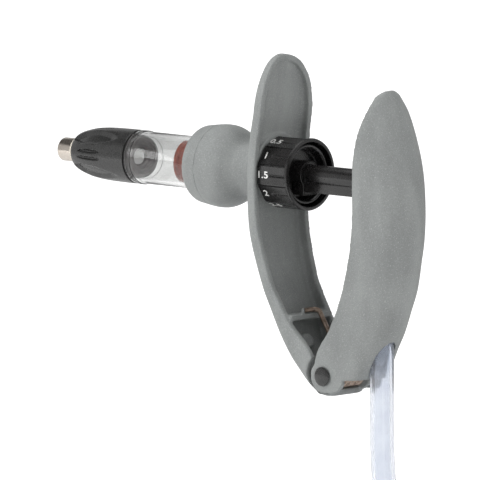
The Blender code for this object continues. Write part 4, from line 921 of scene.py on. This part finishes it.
def front_handle():
    handle = tool("channel", channel_mesh())
    join(handle, bar("pad", (PLATE_FRONT + 0.0008, 0, PAD_Z), (DIAL_SEAT, 0, PAD_Z), PAD_R, 96))
    cut(handle, bar("dial_room", (DIAL_SEAT, 0, 0), (DIAL_SEAT + 0.006, 0, 0), DIAL_ROOM, 128))
    cut(handle, tool("ejector_ring", ejector_ring()))
    join(handle, tool("ball", turned(ball_outline(), 96, 0, False)))
    x, _, z = RIB
    rear = x + RIB_DEPTH
    join(handle, block("rib", (x, -RIB_HALF, z - RIB_WALL / 2), (rear, RIB_HALF, z + RIB_WALL / 2)))
    join(handle, block("tab", (rear - 0.0012, -0.0050, z), (rear, -0.0038, z + 0.0034)))
    lean = Vector((sin(BOSS_LEAN), 0, cos(BOSS_LEAN)))
    join(handle, bar("boss", BOSS - lean * 0.0028, BOSS + lean * 0.0030, 0.0031))
    for side in (-1, 1):
        join(handle, hinge_bar("knuckle", side * KNUCKLE_IN, side * (KNUCKLE_OUT + 0.0003), KNUCKLE_R, 64))
        cut(handle, hinge_bar("recess", side * KNUCKLE_OUT, side * (KNUCKLE_OUT + 0.0060), RECESS_R, 64,
                              -0.0008, 0.0006))
    bore = [(PLATE_REAR + 0.004, 0.0), (PLATE_REAR + 0.004, AXIS_BORE), (PLATE_FRONT, AXIS_BORE),
            (PLATE_FRONT, 0.0091), (BALL_X + 0.0110, 0.0091), (BALL_X + 0.0080, SPIGOT_BORE),
            (COLLAR_REAR - 0.0054, SPIGOT_BORE), (COLLAR_REAR - 0.0054, 0.0)]
    cut(handle, tool("axis_bore", turned(bore, 96, 0, False)))
    cut(handle, hinge_bar("pin_hole", -0.02, 0.02, PIN_HOLE, 32))
    return moulded(handle, 0.00045, 4)


fitted("front_handle_moulding", front_handle(), grey_nylon, "front_handle", "grey_nylon", "front_handle")


# ---- Barrel collar -------------------------------------------------------------------
# Screwed ring of the same grey nylon that clamps the barrel's flange against the ball. A
# black rubber ring seals behind the flange.
COLLAR_FRONT = COLLAR_REAR - 0.0058
BORE_R = 0.00855
BARREL_R = 0.0101
black_rubber = finish("black_seal_rubber", {"Specular IOR Level": 0.35},
                      plain_paint((0.014, 0.014, 0.014), (0.028, 0.028, 0.027), 1200.0, 0.55, 0.00005))
collar_outline = [(BALL_FRONT + 0.0002, 0.01590), (COLLAR_FRONT + 0.0010, 0.01500), (COLLAR_FRONT, 0.0143),
                  (COLLAR_FRONT, BARREL_R + 0.0003), (COLLAR_FRONT + 0.0016, BARREL_R + 0.0003),
                  (COLLAR_FRONT + 0.0016, 0.0126), (BALL_FRONT + 0.0002, 0.0126)]
fitted("clamp_collar", turned(collar_outline, 160, 0.0004), grey_nylon,
       "front_handle", "grey_nylon", "barrel_collar")
coated(black_rubber, "barrel_seal", "front_gasket")


# ---- Barrel --------------------------------------------------------------------------
# Clear polished plastic tube, 17.1 mm bore, with a flange at its rear and a thick ring at
# its front that the nut screws up to. Faint turning and handling marks run round it.
def clear_paint(wire):
    place = wire.spot()
    drawn = wire.add("ShaderNodeMapping", {}, {"Vector": place, "Scale": (1.0, 0.15, 0.15)})
    marks = wire.noise(drawn, 1400.0, 3.0)
    haze = wire.noise(place, 160.0, 3.0)
    return {
        "Base Color": haze.step(0.3, 0.7).mix((0.72, 0.725, 0.72, 1.0), (0.775, 0.78, 0.775, 1.0)),
        "Roughness": marks.step(0.45, 0.8) * 0.05 + 0.012,
        "Normal": wire.bump(marks, 0.000006, 0.3),
    }


clear_plastic = finish("clear_polished_plastic", {"Transmission Weight": 1.0, "IOR": 1.49}, clear_paint)
STROKE = 0.0220
PISTON_FRONT = COLLAR_FRONT - 0.0097
FLANGE_R = 0.0118
FLANGE_FRONT = COLLAR_FRONT + 0.0019
FLANGE_REAR = FLANGE_FRONT + 0.0012
SEAT_REAR = PISTON_FRONT - STROKE - 0.0007
RING_R = BORE_R + 0.0019
RING_REAR = SEAT_REAR + 0.0012
RING_FRONT = RING_REAR - 0.0026
SPIGOT_R = BORE_R + 0.00055
BARREL_FRONT = RING_FRONT - 0.0039
barrel_outline = [(FLANGE_REAR, FLANGE_R), (FLANGE_FRONT, FLANGE_R), (FLANGE_FRONT, BARREL_R),
                  (RING_REAR, BARREL_R), (RING_REAR, RING_R), (RING_FRONT, RING_R), (RING_FRONT, SPIGOT_R),
                  (BARREL_FRONT, SPIGOT_R), (BARREL_FRONT, BORE_R), (FLANGE_REAR, BORE_R)]
fitted("barrel_tube", turned(barrel_outline, 160, 0.00016), clear_plastic,
       "front_handle", "clear_barrel", "barrel")


# ---- Piston --------------------------------------------------------------------------
# Terracotta silicone cup seal with a lip at each end, on a black acetal hub that is fixed
# to the rod's front end. The inlet valve sits inside the hub.
PISTON_LENGTH = 0.0078
terracotta = finish("terracotta_silicone", {"Specular IOR Level": 0.2, "Subsurface Weight": 0.08,
                                            "Subsurface Radius": (0.002, 0.0006, 0.0004)},
                    plain_paint((0.27, 0.040, 0.016), (0.38, 0.070, 0.034), 900.0, 0.40, 0.00002))
seal_lip = BORE_R - 0.0003
seal_rear = PISTON_FRONT + PISTON_LENGTH
seal_outline = [(seal_rear, seal_lip - 0.0004), (seal_rear - 0.0008, seal_lip),
                (seal_rear - 0.0018, seal_lip), (seal_rear - 0.0028, seal_lip - 0.0007),
                (PISTON_FRONT + 0.0028, seal_lip - 0.0007), (PISTON_FRONT + 0.0018, seal_lip),
                (PISTON_FRONT + 0.0008, seal_lip), (PISTON_FRONT, seal_lip - 0.0004),
                (PISTON_FRONT, 0.0059), (seal_rear, 0.0059)]
fitted("piston_cup_seal", turned(seal_outline, 128, 0.0003), terracotta,
       "piston_rod", "seal_rubber", "piston_seal")


# ---- Outlet valve --------------------------------------------------------------------
# Grey moulded seat with two steps round its hole, pressed into the barrel's front, and
# the white mushroom valve that a small spring holds shut behind it.
seat_r = 0.00775
seat_hole = 0.0036
seat_step = seat_r - 0.0013
inner_step = seat_step - 0.0014
seat_flange = BARREL_FRONT - 0.0003
seat_front = seat_flange - 0.0020
seat_outline = [(SEAT_REAR, seat_r), (seat_flange, seat_r), (seat_flange, 0.0091), (seat_front, 0.0091),
                (seat_front, seat_hole), (SEAT_REAR - 0.0020, seat_hole), (SEAT_REAR - 0.0020, inner_step),
                (SEAT_REAR - 0.0008, inner_step), (SEAT_REAR - 0.0008, seat_step), (SEAT_REAR, seat_step)]
seat_plastic = finish("dark_grey_seat_plastic", {"Specular IOR Level": 0.4},
                      plain_paint((0.135, 0.122, 0.122), (0.20, 0.185, 0.185), 1300.0, 0.38, 0.00003))
fitted("outlet_seat", turned(seat_outline), seat_plastic, "front_handle", "grey_nylon", "outlet_valve_seat")
valve_head = seat_front - 0.0003
valve_outline = [(SEAT_REAR - 0.0028, 0.0), (SEAT_REAR - 0.0028, 0.0031), (valve_head, 0.0031),
                 (valve_head, 0.0052), (valve_head - 0.0014, 0.0052), (valve_head - 0.0014, 0.0015),
                 (valve_head - 0.0074, 0.0015), (valve_head - 0.0074, 0.0)]
fitted("outlet_mushroom", turned(valve_outline, 64, 0.0003, False), white_acetal,
       "outlet_valve", "white_acetal", "outlet_valve")


def steel_paint(wire):
    place = wire.spot()
    drawn = wire.noise(place, 3200.0, 3.0)
    stain = wire.noise(place, 300.0, 3.0)
    return {
        "Base Color": stain.step(0.3, 0.7).mix((0.46, 0.46, 0.47, 1.0), (0.64, 0.64, 0.64, 1.0)),
        "Roughness": drawn.step(0.3, 0.7) * 0.16 + 0.20,
        "Normal": wire.bump(drawn, 0.00002, 0.4),
    }


spring_steel = finish("bright_spring_steel", {"Metallic": 1.0}, steel_paint)


def valve_spring(name, node, body, radius, wire_radius, turns):
    """A plain coil along the barrel, as long as the solid that it stands for."""
    low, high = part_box(node)
    middle = (low + high) / 2
    start, end = high.x - wire_radius, low.x + wire_radius
    points = []
    for step in range(turns * 28 + 1):
        share = step / (turns * 28)
        turn = 2 * pi * turns * share
        points.append((start + (end - start) * share, middle.y + radius * cos(turn),
                       middle.z + radius * sin(turn)))
    fitted(name, wound(points, wire_radius, spring_steel, 10), spring_steel, body, "spring_steel", node)


valve_spring("outlet_coil", "outlet_valve_spring", "front_handle", 0.0028, 0.00035, 4)
valve_spring("inlet_coil", "inlet_valve_spring", "piston_rod", 0.0021, 0.00025, 3)


# ---- Nose nut ------------------------------------------------------------------------
# Charcoal nylon nut that holds the seat and takes the metal nozzle. Four hollow leaves
# run back from its nose, and on each of the four ridges between them are two short
# grooves for the fingers.
NUT_REAR = RING_FRONT - 0.0012
NUT_LENGTH = 0.0314
NUT_R = 0.01045
NUT_FRONT = NUT_REAR - NUT_LENGTH
CHAMBER_REAR = seat_front - 0.0003
CHAMBER_FRONT = CHAMBER_REAR - 0.0131
CHAMBER_R = 0.0063
LEAF_TURN = radians(46)
LEAF_REAR = 0.14
LEAF_LENGTH = 0.81
LEAF_HALF = radians(20.5)
LEAF_DEPTH = 0.0013
GROOVE_MIDDLE = 0.60
GROOVE_REACH = 0.215
GROOVE_TURN = radians(7.8)
GROOVE_HALF = 0.00078
GROOVE_DEPTH = 0.00095
# How round the nose is: shares of its length from the rear, with shares of its full radius.
NOSE = ((0.0, 0.990), (0.03, 1.0), (0.28, 0.995), (0.49, 0.975), (0.675, 0.920), (0.80, 0.840),
        (0.866, 0.785), (0.93, 0.715), (0.965, 0.650), (0.988, 0.575), (1.0, 0.480))
SMOOTH_NOSE = catmull(NOSE, 6)


def nut_radius(share, turn):
    """Radius of the nose at a share of its length from the rear, at a turn round it."""
    for (a, low), (b, high) in zip(SMOOTH_NOSE, SMOOTH_NOSE[1:]):
        if share <= b:
            base = (low + (high - low) * (share - a) / max(b - a, 1e-9)) * NUT_R
            break
    offset = abs((turn - LEAF_TURN + pi / 4) % (pi / 2) - pi / 4)
    along = (share - LEAF_REAR) / LEAF_LENGTH
    depth = 0.0
    if 0 < along < 1:
        half = LEAF_HALF * min(1.0, along / 0.45) ** 0.62 * min(1.0, (1 - along) / 0.22) ** 0.5
        inside = 1 - offset / max(half, 1e-6)
        if inside > 0:
            depth = min(LEAF_DEPTH, 0.0075 * inside * half) * min(1.0, along / 0.2)
    ridge = (turn - LEAF_TURN) % (pi / 2) - pi / 4
    if abs(share - GROOVE_MIDDLE) < GROOVE_REACH:
        taper = sqrt(1 - ((share - GROOVE_MIDDLE) / GROOVE_REACH) ** 2)
        for side in (-1, 1):
            away = (ridge - side * GROOVE_TURN) * base / (GROOVE_HALF * taper)
            depth += GROOVE_DEPTH * taper * max(0.0, 1 - away * away)
    return base - depth


def nose_nut():
    steps, stations = 288, 150
    rings = []
    for index in range(stations + 1):
        share = index / stations
        rings.append(ring(NUT_REAR - NUT_LENGTH * share, lambda turn: nut_radius(share, turn), steps))
    for along, radius in ((NUT_FRONT, 0.0035), (CHAMBER_FRONT, 0.0035), (CHAMBER_FRONT, CHAMBER_R),
                          (CHAMBER_REAR, CHAMBER_R), (CHAMBER_REAR, 0.0094), (NUT_REAR, 0.0094)):
        rings.append(ring(along, lambda turn: radius, steps))
    return ring_mesh(rings, sharp=40)


fitted("nose_nut", nose_nut(), charcoal, "front_handle", "charcoal_nylon", "front_nut")


# ---- Nozzle --------------------------------------------------------------------------
# Smooth lock collar of nickel-plated brass with the tapered tip inside it, screwed into
# the nut over a thin cream washer.
def nickel_paint(wire):
    """Plating over turned brass: fine rings from the tool, a warm cast and a few dull spots."""
    place = wire.spot()
    rings = wire.add("ShaderNodeMapping", {}, {"Vector": place, "Scale": (1.0, 0.04, 0.04)})
    turned_marks = wire.noise(rings, 5200.0, 2.0)
    spots = wire.noise(place, 700.0, 4.0, 0.65)
    return {
        "Base Color": spots.step(0.35, 0.7).mix((0.70, 0.63, 0.56, 1.0), (0.76, 0.70, 0.63, 1.0)),
        "Roughness": (turned_marks * 0.7 + spots * 0.3).step(0.3, 0.7) * 0.06 + 0.20,
        "Normal": wire.bump(turned_marks, 0.000001, 0.3),
    }


nickel = finish("nickel_plated_brass", {"Metallic": 1.0}, nickel_paint)
WASHER_REAR = NUT_FRONT - 0.0003
LUER_REAR = WASHER_REAR - 0.0011
LUER_FRONT = LUER_REAR - 0.0068
LUER_R = 0.00455
THREAD_R = 0.00375
CHANNEL_R = 0.0009
tip_front = LUER_FRONT + 0.0004
stem_rear = CHAMBER_FRONT - 0.0020
luer_outline = [(stem_rear, 0.0032), (LUER_REAR, 0.0032), (LUER_REAR, 0.0044), (LUER_REAR - 0.0003, LUER_R),
                (LUER_FRONT + 0.0003, LUER_R), (LUER_FRONT, LUER_R - 0.0002), (LUER_FRONT, THREAD_R),
                (LUER_REAR - 0.0015, THREAD_R), (LUER_REAR - 0.0015, 0.0025), (tip_front, 0.0021),
                (tip_front, CHANNEL_R), (stem_rear, CHANNEL_R)]
fitted("lock_nozzle", turned(luer_outline, 96, 0.00015), nickel,
       "front_handle", "nickel_brass", "luer_nozzle")
cream = finish("cream_nylon_washer", {"Subsurface Weight": 0.1, "Subsurface Radius": (0.001,) * 3},
               plain_paint((0.70, 0.65, 0.56), (0.84, 0.80, 0.72), 1500.0, 0.40, 0.00004))
washer_rear, washer_front = WASHER_REAR + 0.0002, WASHER_REAR - 0.0009
washer_outline = [(washer_rear, 0.0051), (washer_front, 0.0051),
                  (washer_front, 0.0035), (washer_rear, 0.0035)]
fitted("cream_washer", turned(washer_outline, 96, 0.00015), cream,
       "front_handle", "cream_washer", "nozzle_washer")


# ---- Dose dial -----------------------------------------------------------------------
# Black acetal knob with eleven shallow finger hollows and a fine line on each ridge. Ten
# hollows have an index groove and a dose filled in white. Its rear is recessed for the
# dished cap, and a keyed sleeve in the middle takes the rod.
DIAL_R = 0.0140
DIAL_FRONT = DIAL_SEAT + 0.0003
DIAL_REAR = PLATE_REAR + 0.0151
DIAL_FLOOR = DIAL_REAR - 0.0076
DIAL_FLUTE = 0.00065
DOSES = 10
SECTOR = 2 * pi / (DOSES + 1)
FIRST_DOSE = pi / 2 - 2 * SECTOR
RIDGE_LINE = 0.00034
RIDGE_DEPTH = 0.00060
MARK_HALF = 0.00050
MARK_DEPTH = 0.00055
MARK_FRONT = DIAL_REAR - 0.0096
MARK_REAR = DIAL_REAR - 0.0018
DIAL_WALL = 0.0014
black_acetal = finish("black_acetal_moulding", {"Specular IOR Level": 0.80},
                      plain_paint((0.007, 0.007, 0.007), (0.015, 0.014, 0.014), 1700.0, 0.20, 0.00002))


def dial_radius(along, turn):
    """Radius of the knob; turn is 0 at the top and grows towards the near side."""
    share = ((turn - FIRST_DOSE) / SECTOR + 0.5) % 1.0
    fade = 1 - ease((along - (DIAL_REAR - 0.0014)) / 0.0008)
    radius = DIAL_R - DIAL_FLUTE * sin(pi * share) ** 0.8 * fade
    ridge = min(share, 1 - share) * SECTOR * DIAL_R
    radius -= RIDGE_DEPTH * max(0.0, 1 - (ridge / RIDGE_LINE) ** 2) * fade
    into, left = along - MARK_FRONT + 0.0004, MARK_REAR + 0.0003 - along
    if into > 0 and left > 0:
        away = abs(share - 0.5) * SECTOR * DIAL_R
        mark = max(0.0, 1 - (away / MARK_HALF) ** 2) ** 0.6
        radius -= MARK_DEPTH * mark * min(1.0, into / 0.0004, left / 0.0003)
    return radius


def dose_knob():
    steps = 720
    stations = [DIAL_FRONT, DIAL_FRONT + 0.0001, DIAL_FRONT + 0.0003]
    stations += [DIAL_FRONT + 0.0006 + (DIAL_REAR - 0.0016 - DIAL_FRONT) * i / 44 for i in range(45)]
    stations += [DIAL_REAR - 0.0006, DIAL_REAR - 0.0003, DIAL_REAR - 0.0001, DIAL_REAR]
    trims = [0.0006, 0.0004, 0.0002] + [0.0] * 46 + [0.0001, 0.0002, 0.0005]
    rings = [ring(along, lambda turn: dial_radius(along, turn) - trim, steps, -1)
             for along, trim in zip(stations, trims)]
    recess = DIAL_R - DIAL_WALL
    rings.append(ring(DIAL_REAR, lambda turn: recess + 0.0003, steps, -1))
    inside = [(DIAL_REAR, recess), (DIAL_FLOOR, recess), (DIAL_FLOOR, AXIS_BORE), (DIAL_FRONT, AXIS_BORE)]
    rings += [ring(along, lambda turn: radius, steps, -1) for along, radius in rounded(inside, 0.0003, False)]
    return ring_mesh(rings, sharp=42)


fitted("dose_knob", dose_knob(), black_acetal, "dose_dial", "black_acetal", "dose_dial")
white_fill = finish("white_fill", {},
                    plain_paint((0.72, 0.72, 0.70), (0.88, 0.88, 0.86), 2400.0, 0.45, 0.00003))
NUMBER_SIZE = 0.0037
NUMBER_WIDTH = 1.22
NUMBER_PLACE = DIAL_REAR - 0.0127


def dose_number(index):
    """One number, laid on its hollow and reading towards the palm."""
    words = bpy.data.curves.new("number", "FONT")
    words.body = f"{(index + 1) / 2:g}"
    words.size = NUMBER_SIZE
    words.offset = 0.00006
    words.space_character = 1.08
    words.extrude = 0.00010
    words.align_x = "CENTER"
    words.align_y = "CENTER"
    holder = bpy.data.objects.new("number", words)
    scene.collection.objects.link(holder)
    graph = bpy.context.evaluated_depsgraph_get()
    mesh = bpy.data.meshes.new_from_object(holder.evaluated_get(graph))
    bpy.data.objects.remove(holder, do_unlink=True)
    shape = bmesh.new()
    shape.from_mesh(mesh)
    bmesh.ops.triangulate(shape, faces=shape.faces[:])
    bmesh.ops.subdivide_edges(shape, edges=shape.edges[:], cuts=1)
    centre = FIRST_DOSE + SECTOR * index
    for vert in shape.verts:
        along = NUMBER_PLACE + vert.co.x * NUMBER_WIDTH
        turn = centre - vert.co.y / (DIAL_R - DIAL_FLUTE)
        radius = DIAL_R - DIAL_FLUTE * cos((turn - centre) / SECTOR * pi) ** 0.8 + vert.co.z
        vert.co = (along, -radius * sin(turn), radius * cos(turn))
    shape.to_mesh(mesh)
    shape.free()
    fitted(f"dose_number_{index + 1}", mesh, white_fill, "dose_dial", "white_acetal")


for index in range(DOSES):
    dose_number(index)

HUB_FLANGE = DIAL_FLOOR + 0.0003
cap_floor = HUB_FLANGE + 0.0013
cap_inner = hypot(0.0078, 0.0036) + 0.0003
cap_rear = DIAL_REAR - 0.0015
dish = [(cap_rear, 0.01140), (cap_floor + 0.0010, 0.01140), (cap_floor, 0.0096), (cap_floor, cap_inner),
        (cap_floor + 0.0008, cap_inner), (cap_floor + 0.0012, cap_inner + 0.0004),
        (cap_rear - 0.0020, 0.0098), (cap_rear - 0.0006, 0.0102), (cap_rear, 0.0107)]
fitted("dial_dish", turned(dish, 128), black_acetal, "dose_dial", "black_acetal", "dial_cap")
coated(black_acetal, "dial_hub")


def keyed_outline(radius, half, reach, bend=0.0004):
    """Cross-section of the rod: round, with the square key below."""
    edge = asin(half / radius)
    outline = []
    for step in range(49):
        turn = -pi / 2 + edge + (2 * pi - 2 * edge) * step / 48
        outline.append((radius * cos(turn), radius * sin(turn)))
    for corner in (-1, 1):
        for step in range(5):
            turn = step / 4 * pi / 2
            into = (1 - cos(turn), 1 - sin(turn)) if corner < 0 else (1 - sin(turn), 1 - cos(turn))
            outline.append((corner * (half - bend * into[0]), bend * into[1] - reach))
    return outline


def lofted(sections, closed=False):
    """A skin through (along, outline) sections, closed into a tube or capped at both ends."""
    shape = bmesh.new()
    nets = [[shape.verts.new((along, y, z)) for y, z in outline] for along, outline in sections]
    pairs = list(zip(nets, nets[1:])) + ([(nets[-1], nets[0])] if closed else [])
    for first, second in pairs:
        for i in range(len(first)):
            after = (i + 1) % len(first)
            shape.faces.new((first[i], first[after], second[after], second[i]))
    if not closed:
        shape.faces.new(nets[0])
        shape.faces.new(nets[-1])
    bmesh.ops.recalc_face_normals(shape, faces=shape.faces[:])
    mesh = as_mesh(shape)
    mesh.shade_smooth()
    mesh.set_sharp_from_angle(angle=radians(50))
    return mesh


SLEEVE_R = 0.0052
SLEEVE_KEY_HALF = 0.0036
SLEEVE_KEY_REACH = 0.0078
# From the flange along the outside to the rounded rear edge and back along the inside.
sleeve_sections = []
for along, grow in ((HUB_FLANGE + 0.0006, 0.00008), (DIAL_REAR - 0.0005, 0.00008), (DIAL_REAR - 0.0003, 0.0),
                    (DIAL_REAR - 0.0002, -0.00015), (DIAL_REAR - 0.0002, -0.00045),
                    (DIAL_REAR - 0.0003, -0.00060), (DIAL_REAR - 0.0005, -0.00068),
                    (HUB_FLANGE + 0.0006, -0.00068)):
    sleeve_sections.append((along, keyed_outline(SLEEVE_R + grow, SLEEVE_KEY_HALF + grow,
                                                 SLEEVE_KEY_REACH + grow)))
fitted("keyed_sleeve", lofted(sleeve_sections, True), black_acetal, "dose_dial", "black_acetal")


# ---- Rod and feed elbow --------------------------------------------------------------
# Black acetal rod, hollow for the dose, with a key rib along its underside. It carries
# the collar that the rear handle's fork drives and ends in the swivel elbow for the hose.
ROD_R = 0.00395
KEY_HALF = 0.00247
KEY_REACH = 0.00667
ROD_FRONT = -0.0767
ROD_REAR = -0.0213
CHAMFER = 0.0003
rod_section = keyed_outline(ROD_R, KEY_HALF, KEY_REACH)
rod_sections = [(along, [(y * share, z * share) for y, z in rod_section])
                for along, share in ((ROD_FRONT, 0.96), (ROD_FRONT + CHAMFER, 1.0),
                                     (ROD_REAR - CHAMFER, 1.0), (ROD_REAR, 0.96))]
fitted("keyed_rod", lofted(rod_sections), black_acetal, "piston_rod", "black_acetal")
coated(black_acetal, "piston_rod", "rod_collar", "dose_cam", "feed_elbow", "piston_head")
coated(spring_steel, "dose_stop", "dial_circlip", "detent_ball", "detent_spring")
coated(white_acetal, "inlet_valve", "inlet_valve_cage")

bpy.context.view_layer.update()
